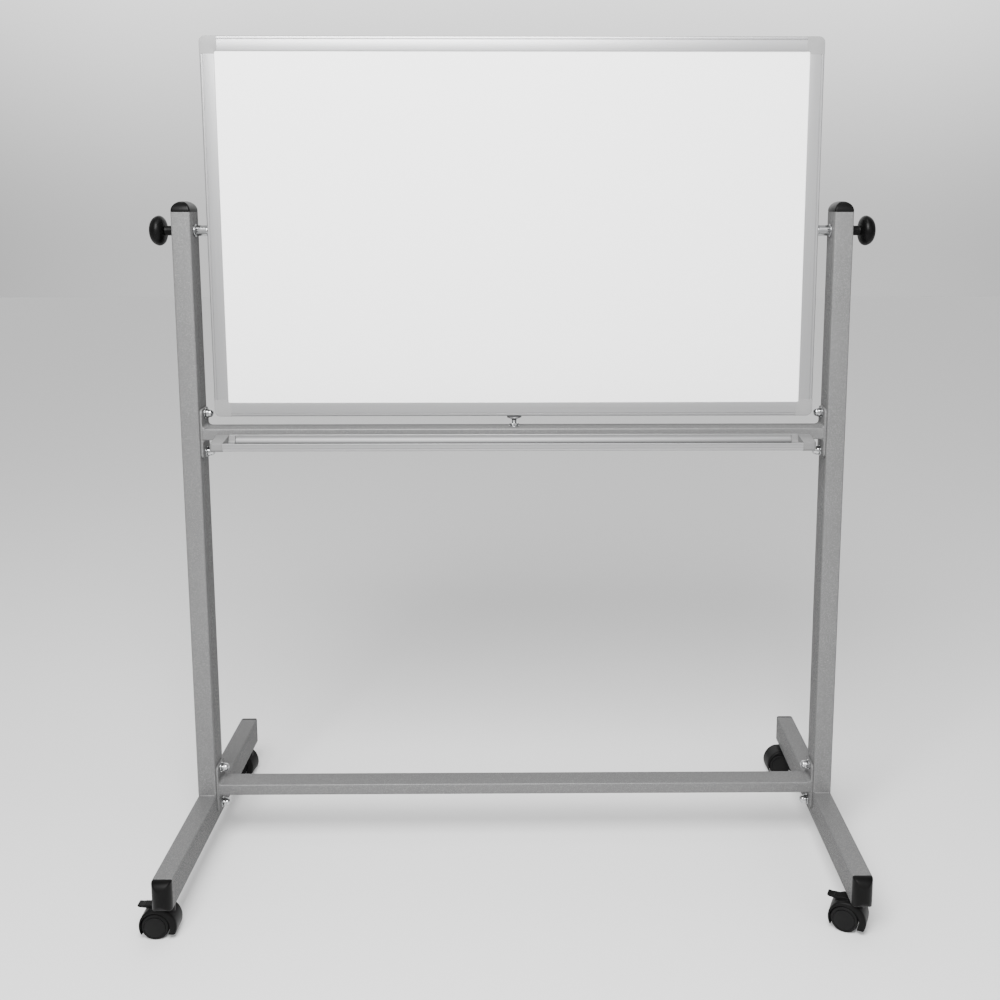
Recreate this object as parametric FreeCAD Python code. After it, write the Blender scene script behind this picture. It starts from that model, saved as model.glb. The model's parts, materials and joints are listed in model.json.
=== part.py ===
# Rolling reversible whiteboard: a double-sided board that flips end over end between two inverted-T
# side frames on four swivelling twin-wheel casters. Millimetres, +Z up, +X to the viewer's right,
# +Y away from the viewer, origin on the floor under the middle of the stand.
import FreeCAD, Part
import math
import os

V = FreeCAD.Vector
os.makedirs("parts", exist_ok=True)

# ---------------------------------------------------------------- driving dimensions
board_width = 1219.0          # over the frame, 48 in
board_height = 752.0          # over the frame, about 30 in
board_thickness = 22.0
pivot_height = 1322.0         # flip axis above the floor, at half the board's height
pivot_gap = 27.5              # board side to post side, filled by spacer and washers

tube_width = 38.0             # posts and feet: 60 x 38 steel tube, narrow side facing the front
tube_depth = 60.0
tube_wall = 1.5
tube_corner = 3.5
post_above_pivot = 37.0
foot_length = 656.0           # bare tube, without its end caps

bar_depth = 50.0              # crossbars: 50 x 24 steel tube, lying flat
bar_height = 24.0
bar_wall = 1.5
bar_corner = 3.0
upper_bar_drop = 23.0         # board's bottom edge to the upper crossbar's top face
lower_bar_rise = 10.0         # lower crossbar's axis above the foot's top face

wheel_radius = 26.0
caster_headroom = 16.0        # top of the wheels to the foot's underside
wheel_width = 15.0
wheel_gap = 13.0              # between the inner faces of the two wheels
trail = 20.0                  # swivel axis to wheel axle
stem_inset = 25.0             # foot tube's end to swivel axis
stem_depth = 19.0             # stem's plain end below the foot
stem_rise = 18.0              # stem's threaded end above the foot's underside
collar_radius = 11.0
collar_height = 2.4
collar_gap = 0.6
socket_height = 9.0
axle_radius = 3.0
wheel_clearance = 2.2         # between a wheel's tread and the hood round it
fender_thickness = 10.0       # hood's outline beyond the wheels, at its thickest
hood_lead = 5.0               # hood's centre ahead of the axle, towards the swivel axis
hood_lift = 1.0               # hood's centre above the axle
hood_half_width = 21.5
hood_edge_radius = 4.0
hood_bottom = 12.0
hood_headroom = 6.0           # hood's flat top to the foot's underside
hood_boss_radius = 14.0
hood_boss_depth = 24.0
hood_web = 5.5                # half the thickness of the web between the wheels
lever_half_width = 8.0
lever_pin_radius = 1.6
lever_pivot_lead = 3.0        # pin ahead of the axle
lever_pivot_drop = 8.0        # pin below the foot's underside
lever_slot_drop = 10.6        # slot's floor under the pin, below the foot's underside
lever_throw = 9.6             # degrees that the slot leaves for the lever, a little over its travel

flange_height = 102.0         # plates welded to the crossbars' ends
flange_thickness = 4.5
flange_bolt_pitch = 80.0
flange_corner = 9.0
weld_leg = 7.0

bolt_diameter = 10.0
bolt_hole_clearance = 0.25    # radial
bolt_head_diameter = 22.0
bolt_head_height = 4.2
nut_across_flats = 17.0
nut_hex_height = 8.0
nut_height = 16.0
nut_crown_radius = 8.1
nut_crown_rise = 5.0          # height of the crown's rounded end
washer_diameter = 21.0
washer_thickness = 1.6

stud_diameter = 12.0
stud_depth_in_block = 11.0
running_clearance = 0.08      # radial, shafts that turn in their holes
face_gap = 0.3                # between faces of pieces that move past each other
spacer_across_flats = 19.0
post_washer_diameter = 25.0
post_washer_thickness = 2.5
rail_washer_diameter = 20.0
rail_washer_thickness = 1.6

knob_radius = 30.0
knob_disc = 30.0              # thickness of the knob's mushroom head
knob_stem_length = 19.0
knob_stem_radius = 9.8
insert_radius = 8.0
insert_length = 26.0

rail_face = 28.5              # visible width of the board's frame
rail_lip = 1.7                # thickness of the frame's front and rear lips
rail_wall = 1.5
rail_web = 14.0               # outer edge to the web that closes the frame's box
rail_edge_radius = 2.6
rail_groove_at = 6.2          # fine decorative groove along the frame's outer edge
rail_groove = 0.9
corner_leg = 34.0
corner_radius = 12.0
corner_inner_radius = 3.0
corner_proud = 0.25           # plastic corners stand this much outside the rails
corner_tongue = 28.0
fit_clearance = 0.25          # between pieces slid into one another
sheet_thickness = 0.5
panel_clearance = 0.3         # each side of the panel in the frame's groove
panel_edge_in = 17.0          # outer edge to the panel's edge
pivot_block_height = 70.0

tray_depth = 55.0             # crossbar's face to the lip's outer face
tray_length = 1156.0          # aluminium only, without the end caps
tray_wall = 1.6
tray_lip_wall = 1.9
tray_back_above_bar_bottom = 12.0
tray_back_radius = 18.0
tray_lip_height = 16.2
tray_lip_radius = 4.0
tray_below_bar = 11.6         # crossbar's underside to the tray's underside
tray_cap_width = 26.0
tray_cap_tongue = 13.0
tray_cap_skin = 0.8
tray_cap_corner = 7.0
tray_screw_diameter = 5.0
tray_screw_count = 4

stop_radius = 15.3
stop_rim = 2.2
stop_cone = 3.4
stop_pad_thickness = 1.4
stop_gap = 1.0                # pad's top to the board's bottom edge
stop_screw_diameter = 10.0
stop_neck_flare = 2.0         # radial, where the screw's neck widens into its head
stop_nut_height = 8.0
stop_lock_height = 5.0
stop_travel = 3.0

cap_rim = 2.0
cap_plug = 13.0
cap_plug_wall = 2.0

swivel_turn = {"front_left": 0.0, "front_right": -25.0, "rear_left": -8.0, "rear_right": 4.0}

# ---------------------------------------------------------------- derived places
post_inner_x = board_width / 2 + pivot_gap
post_x = post_inner_x + tube_width / 2
post_outer_x = post_inner_x + tube_width
caster_height = 2 * wheel_radius + caster_headroom
foot_bottom = caster_height
foot_top = foot_bottom + tube_depth
post_top = pivot_height + post_above_pivot
board_bottom = pivot_height - board_height / 2
upper_bar_z = board_bottom - upper_bar_drop - bar_height / 2
lower_bar_z = foot_top + lower_bar_rise
bar_half_length = post_inner_x - flange_thickness
stem_y = foot_length / 2 - stem_inset
axle_z = wheel_radius
hood_radius = wheel_radius + fender_thickness
hood_centre = V(hood_lead - trail, 0, axle_z + hood_lift)
hood_top = caster_height - hood_headroom
cavity_radius = wheel_radius + wheel_clearance
lever_pivot = V(lever_pivot_lead - trail, 0, caster_height - lever_pivot_drop)
lever_slot_floor = caster_height - lever_slot_drop
lever_tip = -(trail + hood_radius)
past = 5.0                    # how far a cutting tool runs beyond the face that it cuts


# ---------------------------------------------------------------- small helpers
def save(name, *solids):
    """Writes one node: a single solid, or a group of separate ones."""
    shape = solids[0] if len(solids) == 1 else Part.makeCompound(list(solids))
    shape.exportStep("parts/" + name + ".step")


def block(x0, x1, y0, y1, z0, z1):
    return Part.makeBox(x1 - x0, y1 - y0, z1 - z0, V(x0, y0, z0))


def rod(radius, start, direction, length):
    return Part.makeCylinder(radius, length, start, direction)


def moved(shape, x=0.0, y=0.0, z=0.0):
    copy = shape.copy()
    copy.translate(V(x, y, z))
    return copy


def turned(shape, axis, degrees, centre=V(0, 0, 0)):
    copy = shape.copy()
    copy.rotate(centre, axis, degrees)
    return copy


def mirrored_x(shape):
    """The same piece on the other side of the stand."""
    return shape.mirror(V(0, 0, 0), V(1, 0, 0))


def both_sides(shape):
    return [mirrored_x(shape), shape]


def rounded_prism(width, depth, radius, length):
    """Rectangle width x depth about the origin with rounded corners, extruded up from z = 0."""
    prism = block(-width / 2, width / 2, -depth / 2, depth / 2, 0, length)
    if radius <= 0:
        return prism
    uprights = [e for e in prism.Edges if abs(e.Vertexes[0].Z - e.Vertexes[1].Z) > length / 2]
    return prism.makeFillet(min(radius, 0.49 * min(width, depth)), uprights)


def tube(width, depth, wall, radius, length):
    outer = rounded_prism(width, depth, radius, length)
    inner = rounded_prism(width - 2 * wall, depth - 2 * wall, max(radius - wall, 0.5), length)
    return outer.cut(inner)


def hexagon(across_flats, start, direction, length):
    """Hexagonal bar with two corners pointing up and down when it lies flat."""
    corner = across_flats / math.sqrt(3)
    points = []
    for i in range(7):
        a = math.radians(60 * i)
        points.append(V(corner * math.cos(a), corner * math.sin(a), 0))
    bar = Part.Face(Part.makePolygon(points)).extrude(V(0, 0, length))
    bar.Placement = FreeCAD.Placement(start, FreeCAD.Rotation(V(0, 0, 1), direction))
    return bar


def turned_profile(points, axis_start, axis):
    """Solid of revolution of a closed outline that lies in a plane with its axis."""
    return Part.Face(Part.makePolygon(points + [points[0]])).revolve(axis_start, axis, 360)


def wire_face(edges):
    return Part.Face(Part.Wire(edges))


def line(a, b):
    return Part.LineSegment(a, b).toShape()


def arc(a, mid, b):
    return Part.Arc(a, mid, b).toShape()


# ---------------------------------------------------------------- side frames
def post():
    """Right-hand post with its pivot hole and the holes for the crossbars' bolts."""
    height = post_top - foot_top
    shape = moved(tube(tube_width, tube_depth, tube_wall, tube_corner, height), post_x, 0, foot_top)
    shape = shape.cut(side_hole(stud_diameter / 2 + running_clearance, pivot_height))
    for z in bolt_heights():
        if z > foot_top:
            shape = shape.cut(side_hole(bolt_diameter / 2 + bolt_hole_clearance, z))
    return shape


def side_hole(radius, z):
    return rod(radius, V(post_inner_x - past, 0, z), V(1, 0, 0), tube_width + 2 * past)


def bolt_heights():
    half = flange_bolt_pitch / 2
    return [upper_bar_z + half, upper_bar_z - half, lower_bar_z + half, lower_bar_z - half]


def foot():
    """Right-hand foot: the same tube on edge, running front to back."""
    shape = turned(tube(tube_width, tube_depth, tube_wall, tube_corner, foot_length), V(1, 0, 0), 90)
    shape = moved(shape, post_x, foot_length / 2, foot_bottom + tube_depth / 2)
    for z in bolt_heights():
        if z < foot_top:
            shape = shape.cut(side_hole(bolt_diameter / 2 + bolt_hole_clearance, z))
    for y in (-stem_y, stem_y):
        below = V(post_x, y, foot_bottom - past)
        shape = shape.cut(rod(bolt_diameter / 2 + bolt_hole_clearance, below, V(0, 0, 1), 2 * past))
    return shape


def dome():
    """Hipped dome over the tube's outline: two crossing barrel vaults, both as high as half the width."""
    r, half_d = tube_width / 2, tube_depth / 2
    across = wire_face([arc(V(-r, -half_d, 0), V(0, -half_d, r), V(r, -half_d, 0)),
                        line(V(r, -half_d, 0), V(-r, -half_d, 0))]).extrude(V(0, tube_depth, 0))
    s = r * math.sqrt(0.5)
    along = wire_face([arc(V(-r, -half_d, 0), V(-r, -half_d + r - s, s), V(-r, -half_d + r, r)),
                       line(V(-r, -half_d + r, r), V(-r, half_d - r, r)),
                       arc(V(-r, half_d - r, r), V(-r, half_d - r + s, s), V(-r, half_d, 0)),
                       line(V(-r, half_d, 0), V(-r, -half_d, 0))]).extrude(V(tube_width, 0, 0))
    return across.common(along)


def tube_cap():
    """Domed plastic plug: the rim sits on the tube's end at z = 0 and the hollow plug hangs into it."""
    rim = rounded_prism(tube_width, tube_depth, tube_corner, cap_rim)
    body = rim.fuse(moved(dome(), z=cap_rim).common(rounded_prism(tube_width, tube_depth, tube_corner, 60)))
    plug_w = tube_width - 2 * tube_wall - 2 * fit_clearance
    plug_d = tube_depth - 2 * tube_wall - 2 * fit_clearance
    plug = tube(plug_w, plug_d, cap_plug_wall, tube_corner - tube_wall, cap_plug + 1)
    return body.fuse(moved(plug, z=-cap_plug)).removeSplitter()


def side_frames():
    save("right_post", post())
    save("left_post", mirrored_x(post()))
    save("right_foot", foot())
    save("left_foot", mirrored_x(foot()))
    save("post_caps", *both_sides(moved(tube_cap(), post_x, 0, post_top)))
    to_front = turned(tube_cap(), V(1, 0, 0), 90)
    to_rear = turned(tube_cap(), V(1, 0, 0), -90)
    middle = foot_bottom + tube_depth / 2
    caps = [moved(to_front, post_x, -foot_length / 2, middle),
            moved(to_rear, post_x, foot_length / 2, middle)]
    save("foot_end_caps", *(both_sides(caps[0]) + both_sides(caps[1])))


# ---------------------------------------------------------------- crossbars and their fastenings
def crossbar(z):
    bar = turned(tube(bar_height, bar_depth, bar_wall, bar_corner, 2 * bar_half_length), V(0, 1, 0), 90)
    return moved(bar, -bar_half_length, 0, z)


def flange(z):
    """Right-hand end plate of a crossbar, with a weld bead over and under the tube."""
    plate = turned(rounded_prism(flange_height, bar_depth, flange_corner, flange_thickness), V(0, 1, 0), 90)
    plate = moved(plate, bar_half_length, 0, z)
    for side in (1, -1):
        foot_of_weld = z + side * bar_height / 2
        run = bar_depth / 2 - bar_corner
        bead = Part.makePolygon([V(bar_half_length, -run, foot_of_weld),
                                 V(bar_half_length - weld_leg, -run, foot_of_weld),
                                 V(bar_half_length, -run, foot_of_weld + side * weld_leg),
                                 V(bar_half_length, -run, foot_of_weld)])
        plate = plate.fuse(Part.Face(bead).extrude(V(0, 2 * run, 0)))
    for dz in (flange_bolt_pitch / 2, -flange_bolt_pitch / 2):
        start = V(bar_half_length - past, 0, z + dz)
        hole_radius = bolt_diameter / 2 + bolt_hole_clearance
        plate = plate.cut(rod(hole_radius, start, V(1, 0, 0), flange_thickness + 2 * past))
    return plate.removeSplitter()


def carriage_bolt(z):
    """Low round head outside the post, shank through post and flange into the cap nut."""
    top = V(post_outer_x + bolt_head_height, 0, z)
    dome_radius = (bolt_head_diameter ** 2 / 4 + bolt_head_height ** 2) / (2 * bolt_head_height)
    ball = Part.makeSphere(dome_radius, top - V(dome_radius, 0, 0))
    head = ball.common(rod(bolt_head_diameter / 2, V(post_outer_x, 0, z), V(1, 0, 0), bolt_head_height + 1))
    shank_end = bar_half_length - washer_thickness - nut_hex_height
    return head.fuse(rod(bolt_diameter / 2, V(shank_end, 0, z), V(1, 0, 0), post_outer_x - shank_end))


def plain_washer(outer, bore_radius, start, direction, thickness):
    return rod(outer / 2, start, direction, thickness).cut(rod(bore_radius, start, direction, thickness))


def cap_nut(z):
    """Acorn nut on the inner face of the flange: chamfered hexagon with a domed blind end."""
    seat = bar_half_length - washer_thickness
    inwards = V(-1, 0, 0)
    hexa = hexagon(nut_across_flats, V(seat, 0, z), inwards, nut_hex_height)
    crown_start = seat - nut_hex_height
    tip = seat - nut_height
    rim = tip + nut_crown_rise
    r = nut_crown_radius
    ball = (r ** 2 + nut_crown_rise ** 2) / (2 * nut_crown_rise)
    half_way = math.asin(r / ball) / 2
    mid = V(tip + ball - ball * math.cos(half_way), 0, z + ball * math.sin(half_way))
    outline = wire_face([line(V(crown_start, 0, z), V(crown_start, 0, z + r)),
                         line(V(crown_start, 0, z + r), V(rim, 0, z + r)),
                         arc(V(rim, 0, z + r), mid, V(tip, 0, z)),
                         line(V(tip, 0, z), V(crown_start, 0, z))])
    crown = outline.revolve(V(seat, 0, z), V(1, 0, 0), 360)
    bore = rod(bolt_diameter / 2, V(seat, 0, z), inwards, nut_hex_height)
    return hexa.fuse(crown).cut(bore).removeSplitter()


def crossbars():
    upper = crossbar(upper_bar_z).cut(stop_hole())
    for x in tray_screw_x():
        below = V(x, bar_face_y / 2, bar_bottom - past)
        upper = upper.cut(rod(tray_screw_diameter / 2, below, V(0, 0, 1), 2 * past))
    save("upper_crossbar", upper)
    save("lower_crossbar", crossbar(lower_bar_z))
    save("upper_flanges", *both_sides(flange(upper_bar_z)))
    save("lower_flanges", *both_sides(flange(lower_bar_z)))
    bolts, washers, nuts = [], [], []
    bore = bolt_diameter / 2 + bolt_hole_clearance
    for z in bolt_heights():
        bolts += both_sides(carriage_bolt(z))
        seat = V(bar_half_length, 0, z)
        washers += both_sides(plain_washer(washer_diameter, bore, seat, V(-1, 0, 0), washer_thickness))
        nuts += both_sides(cap_nut(z))
    save("frame_bolts", *bolts)
    save("frame_washers", *washers)
    save("frame_cap_nuts", *nuts)


# ---------------------------------------------------------------- marker tray
bar_face_y = -bar_depth / 2
bar_bottom = upper_bar_z - bar_height / 2
tray_bottom = bar_bottom - tray_below_bar
tray_back_top = bar_bottom + tray_back_above_bar_bottom
tray_front_y = bar_face_y - tray_depth
tray_lip_top = tray_bottom + tray_lip_height


def tray_outline(grow=0.0, solid=False):
    """Section across the tray at x = 0: curved back, flat floor and upright lip; solid fills the trough."""
    back_y, floor_z = bar_face_y - tray_wall, tray_bottom + tray_wall
    r, s = tray_back_radius, math.sqrt(0.5)
    lip_in, q = tray_front_y + tray_lip_wall, tray_lip_radius
    centre = V(0, back_y - r, floor_z + r)
    outer_r, outer_q = r + tray_wall, q + tray_wall
    low, front = tray_bottom - grow, tray_front_y - grow
    lip_top, back_top = tray_lip_top + grow, tray_back_top
    edges = [line(V(0, bar_face_y, centre.z), V(0, bar_face_y, back_top))]
    if solid:
        edges.append(line(V(0, bar_face_y, back_top), V(0, front, lip_top)))
    else:
        edges += [line(V(0, bar_face_y, back_top), V(0, back_y, back_top)),
                  line(V(0, back_y, back_top), V(0, back_y, centre.z)),
                  arc(V(0, back_y, centre.z), centre + V(0, r * s, -r * s), V(0, centre.y, floor_z)),
                  line(V(0, centre.y, floor_z), V(0, lip_in + q, floor_z)),
                  arc(V(0, lip_in + q, floor_z), V(0, lip_in + q - q * s, floor_z + q - q * s),
                      V(0, lip_in, floor_z + q)),
                  line(V(0, lip_in, floor_z + q), V(0, lip_in, lip_top)),
                  line(V(0, lip_in, lip_top), V(0, front, lip_top))]
    edges += [line(V(0, front, lip_top), V(0, front, low + outer_q)),
              arc(V(0, front, low + outer_q),
                  V(0, front + outer_q - outer_q * s, low + outer_q - outer_q * s),
                  V(0, front + outer_q, low)),
              line(V(0, front + outer_q, low), V(0, centre.y, low))]
    grown = outer_r + grow
    if grow:
        reach = math.sqrt(grown ** 2 - outer_r ** 2)
        lean = math.atan2(outer_r, reach)
        mid = math.radians(-90) + lean / 2
        edges += [arc(V(0, centre.y, low), centre + V(0, grown * math.cos(mid), grown * math.sin(mid)),
                      V(0, bar_face_y, centre.z - reach)),
                  line(V(0, bar_face_y, centre.z - reach), V(0, bar_face_y, centre.z))]
    else:
        edges.append(arc(V(0, centre.y, low), centre + V(0, outer_r * s, -outer_r * s),
                         V(0, bar_face_y, centre.z)))
    return wire_face(edges)


def tray_screw_x():
    pitch = tray_length / tray_screw_count
    return [(i + 0.5) * pitch - tray_length / 2 for i in range(tray_screw_count)]


def marker_tray():
    """Aluminium section with a tongue under the crossbar, where its screws go up."""
    half = tray_length / 2
    shape = moved(tray_outline().extrude(V(tray_length, 0, 0)), -half)
    tongue = block(-half, half, bar_face_y - 3 * tray_wall, 0, bar_bottom - tray_wall, bar_bottom)
    trough = moved(tray_outline(solid=True).extrude(V(tray_length, 0, 0)), -half)
    shape = shape.fuse(tongue.cut(trough))
    for x in tray_screw_x():
        below = V(x, bar_face_y / 2, bar_bottom - tray_wall - past)
        shape = shape.cut(rod(tray_screw_diameter / 2 + bolt_hole_clearance, below, V(0, 0, 1), 2 * past))
    return shape.removeSplitter()


def tray_end_cap():
    """Right-hand plastic cap: closed outside, and a tongue that lines the trough's end."""
    start = tray_length / 2
    skin = tray_outline(grow=tray_cap_skin, solid=True)
    body = moved(skin.extrude(V(tray_cap_width, 0, 0)), start)
    envelope = block(start - 1, start + tray_cap_width, tray_front_y - tray_cap_skin, bar_face_y,
                     tray_bottom - 5, tray_back_top + 5)
    outer_upright = [e for e in envelope.Edges
                     if e.CenterOfMass.x > start + 1 and e.CenterOfMass.y < bar_face_y - 1
                     and abs(e.Vertexes[0].Z - e.Vertexes[1].Z) > 1]
    body = body.common(envelope.makeFillet(tray_cap_corner, outer_upright))
    trough = tray_outline(solid=True).cut(tray_outline())
    lining = moved(trough.Faces[0].extrude(V(tray_cap_tongue, 0, 0)), start - tray_cap_tongue)
    scoop = rounded_prism(tray_lip_height * 1.1, tray_depth - 12, 7, tray_cap_tongue + 1)
    scoop = turned(scoop, V(0, 1, 0), -90)
    scoop = moved(scoop, start, bar_face_y - tray_depth / 2, tray_lip_top + 1.5)
    return body.fuse(lining.cut(scoop)).removeSplitter()


def tray_screw(x):
    head = V(x, bar_face_y / 2, bar_bottom - tray_wall)
    cup = Part.makeCone(3.2, 4.6, 2.6, head - V(0, 0, 2.6), V(0, 0, 1))
    return cup.fuse(rod(tray_screw_diameter / 2, head, V(0, 0, 1), tray_wall + bar_wall - 0.1))


def tray():
    save("marker_tray", marker_tray())
    save("tray_end_caps", *both_sides(tray_end_cap()))
    save("tray_screws", *[tray_screw(x) for x in tray_screw_x()])


# ---------------------------------------------------------------- height-adjustable stop under the board
bar_top = upper_bar_z + bar_height / 2
stop_top = board_bottom - stop_gap


def stop_hole():
    return rod(stop_screw_diameter / 2 + bolt_hole_clearance, V(0, 0, upper_bar_z), V(0, 0, 1), bar_height)


def stop():
    radius = stop_screw_diameter / 2
    head_top = stop_top - stop_pad_thickness
    head_bottom = head_top - stop_rim - stop_cone
    tip = upper_bar_z - bar_height / 2 + bar_wall + stop_travel + 1.0
    outline = [V(0, 0, tip), V(radius - 1, 0, tip), V(radius, 0, tip + 1), V(radius, 0, head_bottom - 2),
               V(radius + stop_neck_flare, 0, head_bottom), V(stop_radius - 2.5, 0, head_top - stop_rim),
               V(stop_radius, 0, head_top - stop_rim * 0.6), V(stop_radius, 0, head_top - 0.3),
               V(stop_radius - 0.3, 0, head_top), V(0, 0, head_top)]
    save("stop_screw", turned_profile(outline, V(0, 0, 0), V(0, 0, 1)))
    pad = rod(stop_radius - 0.6, V(0, 0, head_top + 0.05), V(0, 0, 1), stop_pad_thickness - 0.05)
    save("stop_pad", pad)
    bore = radius + running_clearance
    under = bar_top - bar_wall - stop_nut_height
    weld_nut = hexagon(nut_across_flats, V(0, 0, under), V(0, 0, 1), stop_nut_height)
    save("stop_weld_nut", weld_nut.cut(rod(bore, V(0, 0, under), V(0, 0, 1), stop_nut_height)))
    lock = hexagon(nut_across_flats, V(0, 0, bar_top + washer_thickness), V(0, 0, 1), stop_lock_height)
    seat = rod(washer_diameter / 2, V(0, 0, bar_top), V(0, 0, 1), washer_thickness)
    whole = rod(bore, V(0, 0, bar_top), V(0, 0, 1), washer_thickness + stop_lock_height)
    save("stop_lock_nut", lock.fuse(seat).cut(whole).removeSplitter())


# ---------------------------------------------------------------- board
def rail_section():
    """Frame section: u runs inwards from the outer edge along +X, v across the thickness along +Y."""
    t, face, r = board_thickness / 2, rail_face, rail_edge_radius
    outer = rounded_prism(2 * face, board_thickness, r, 1).common(block(0, face, -t, t, 0, 1))
    section = moved(outer.mirror(V(0, 0, 0), V(1, 0, 0)), face)
    box = block(rail_wall, rail_web, rail_lip - t, t - rail_lip, 0, 1)
    groove = block(rail_web + rail_wall, face + 1, rail_lip - t, t - rail_lip, 0, 1)
    section = section.cut(box).cut(groove)
    for side in (-1, 1):
        line_cut = Part.makeCylinder(rail_groove / 2, 1, V(rail_groove_at, side * t, 0), V(0, 0, 1))
        section = section.cut(line_cut)
    return section


def rail(length):
    """Straight rail of the frame standing up: outer edge at x = 0, facing -X, from z = 0."""
    bottom = [f for f in rail_section().Faces if abs(f.CenterOfMass.z) < 1e-6][0]
    return bottom.extrude(V(0, 0, length))


def placed_rails():
    half_w, half_h = board_width / 2, board_height / 2
    side = rail(board_height - 2 * corner_leg)
    left = moved(side, -half_w, 0, pivot_height - half_h + corner_leg)
    hole = rod(stud_diameter / 2 + fit_clearance, V(-half_w - 1, 0, pivot_height), V(1, 0, 0), rail_wall + 2)
    left = left.cut(hole)
    level = turned(rail(board_width - 2 * corner_leg), V(0, 1, 0), -90)
    bottom = moved(level, half_w - corner_leg, 0, pivot_height - half_h)
    top = turned(bottom, V(0, 1, 0), 180, V(0, 0, pivot_height))
    return {"left_rail": left, "right_rail": mirrored_x(left), "bottom_rail": bottom, "top_rail": top}


def corner_piece():
    """Top right corner: a rounded L of plastic with a tongue into each rail."""
    t = board_thickness / 2 + corner_proud
    leg, out = corner_leg, corner_proud
    body = block(-leg, out, -t, t, -leg, out)
    outermost = out - 0.01
    body = body.makeFillet(corner_radius, [e for e in body.Edges if e.CenterOfMass.x > outermost
                                           and e.CenterOfMass.z > outermost])
    body = body.makeFillet(1.2, [e for e in body.Edges
                                 if abs(abs(e.CenterOfMass.y) - t) < 0.01 and
                                 (e.CenterOfMass.x > -leg / 2 or e.CenterOfMass.z > -leg / 2)
                                 and e.CenterOfMass.x > -leg + 0.1 and e.CenterOfMass.z > -leg + 0.1])
    window = block(-leg - 1, -rail_face, -t - 1, t + 1, -leg - 1, -rail_face)
    body = body.cut(window)
    inner = [e for e in body.Edges if abs(e.CenterOfMass.x + rail_face) < 0.01
             and abs(e.CenterOfMass.z + rail_face) < 0.01]
    body = body.makeFillet(corner_inner_radius, inner) if corner_inner_radius > 0 else body
    half_gap = board_thickness / 2 - rail_lip
    slot = block(-leg - 1, -rail_web - rail_wall, -half_gap, half_gap, -leg - 1, -rail_web - rail_wall)
    body = body.cut(slot)
    across = (rail_wall + fit_clearance, rail_web - fit_clearance)
    thick = half_gap - fit_clearance
    reach = leg + corner_tongue
    body = body.fuse(block(-across[1], -across[0], -thick, thick, -reach, -leg))
    body = body.fuse(block(-reach, -leg, -thick, thick, -across[1], -across[0]))
    return body.removeSplitter()


def placed_corners():
    top_right = moved(corner_piece(), board_width / 2, 0, pivot_height + board_height / 2)
    bottom_right = top_right.mirror(V(0, 0, pivot_height), V(0, 0, 1))
    return both_sides(top_right) + both_sides(bottom_right)


def panel_layer(y0, y1):
    half_w, half_h = board_width / 2 - panel_edge_in, board_height / 2 - panel_edge_in
    return block(-half_w, half_w, y0, y1, pivot_height - half_h, pivot_height + half_h)


def board():
    for name, shape in placed_rails().items():
        save(name, shape)
    save("board_corners", *placed_corners())
    face = board_thickness / 2 - rail_lip - panel_clearance
    save("front_writing_sheet", panel_layer(-face, -face + sheet_thickness))
    save("rear_writing_sheet", panel_layer(face - sheet_thickness, face))
    save("board_core", panel_layer(-face + sheet_thickness, face - sheet_thickness))


# ---------------------------------------------------------------- pivots and clamp knobs
def pivots():
    side = board_width / 2
    inner = side - rail_web + fit_clearance
    outer = side - rail_wall - fit_clearance
    thick = board_thickness / 2 - rail_lip - fit_clearance
    half = pivot_block_height / 2
    solid_block = block(inner, outer, -thick, thick, pivot_height - half, pivot_height + half)
    stud_start = side - rail_wall - stud_depth_in_block
    stud_end = post_outer_x + face_gap + insert_length
    at = V(stud_start, 0, pivot_height)
    stud = rod(stud_diameter / 2, at, V(1, 0, 0), stud_end - stud_start)
    stud = stud.makeChamfer(1.0, [e for e in stud.Edges if e.Closed and e.CenterOfMass.x > stud_end - 0.01])
    save("pivot_blocks", *both_sides(solid_block.cut(rod(stud_diameter / 2, at, V(1, 0, 0), 60))))
    save("pivot_studs", *both_sides(stud))
    bore = stud_diameter / 2 + fit_clearance
    spacer_start = side + rail_washer_thickness
    spacer_length = pivot_gap - rail_washer_thickness - post_washer_thickness - face_gap
    near_end = V(spacer_start, 0, pivot_height)
    spacer = hexagon(spacer_across_flats, near_end, V(1, 0, 0), spacer_length)
    round_off = rod(spacer_across_flats / 2 * 1.1, near_end, V(1, 0, 0), spacer_length)
    spacer = spacer.common(round_off).cut(rod(bore, V(side, 0, pivot_height), V(1, 0, 0), pivot_gap))
    save("pivot_spacers", *both_sides(spacer))
    near = plain_washer(rail_washer_diameter, bore, V(side, 0, pivot_height),
                        V(1, 0, 0), rail_washer_thickness)
    far = plain_washer(post_washer_diameter, bore, V(spacer_start + spacer_length, 0, pivot_height),
                       V(1, 0, 0), post_washer_thickness)
    save("pivot_washers", *(both_sides(near) + both_sides(far)))


def knob_outline():
    """Half section of the mushroom knob: (distance out from the post, radius)."""
    stem, r = knob_stem_length, knob_radius
    tip = stem + knob_disc
    rim = stem + 0.43 * knob_disc
    crown = []
    for i in range(1, 12):
        a = math.radians(90.0 * i / 12)
        crown.append((rim + (tip - rim) * math.sin(a) ** 1.25, r * math.cos(a) ** 0.62))
    return [(0, knob_stem_radius), (stem - 3, knob_stem_radius), (stem - 0.5, knob_stem_radius + 1.6),
            (stem + 1.5, r * 0.62), (stem + 4.5, r * 0.88), (stem + 8.5, r * 0.965), (rim - 2.0, r * 0.995),
            (rim, r)] + crown + [(tip, 0)]


def knob():
    start = post_outer_x + face_gap
    hole_radius = insert_radius + running_clearance
    depth = insert_length + 1.0
    points = [V(start + depth, 0, 0), V(start + depth, 0, hole_radius), V(start, 0, hole_radius)]
    points += [V(start + out, 0, radius) for out, radius in knob_outline()]
    return moved(turned_profile(points, V(0, 0, 0), V(1, 0, 0)), z=pivot_height)


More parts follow.
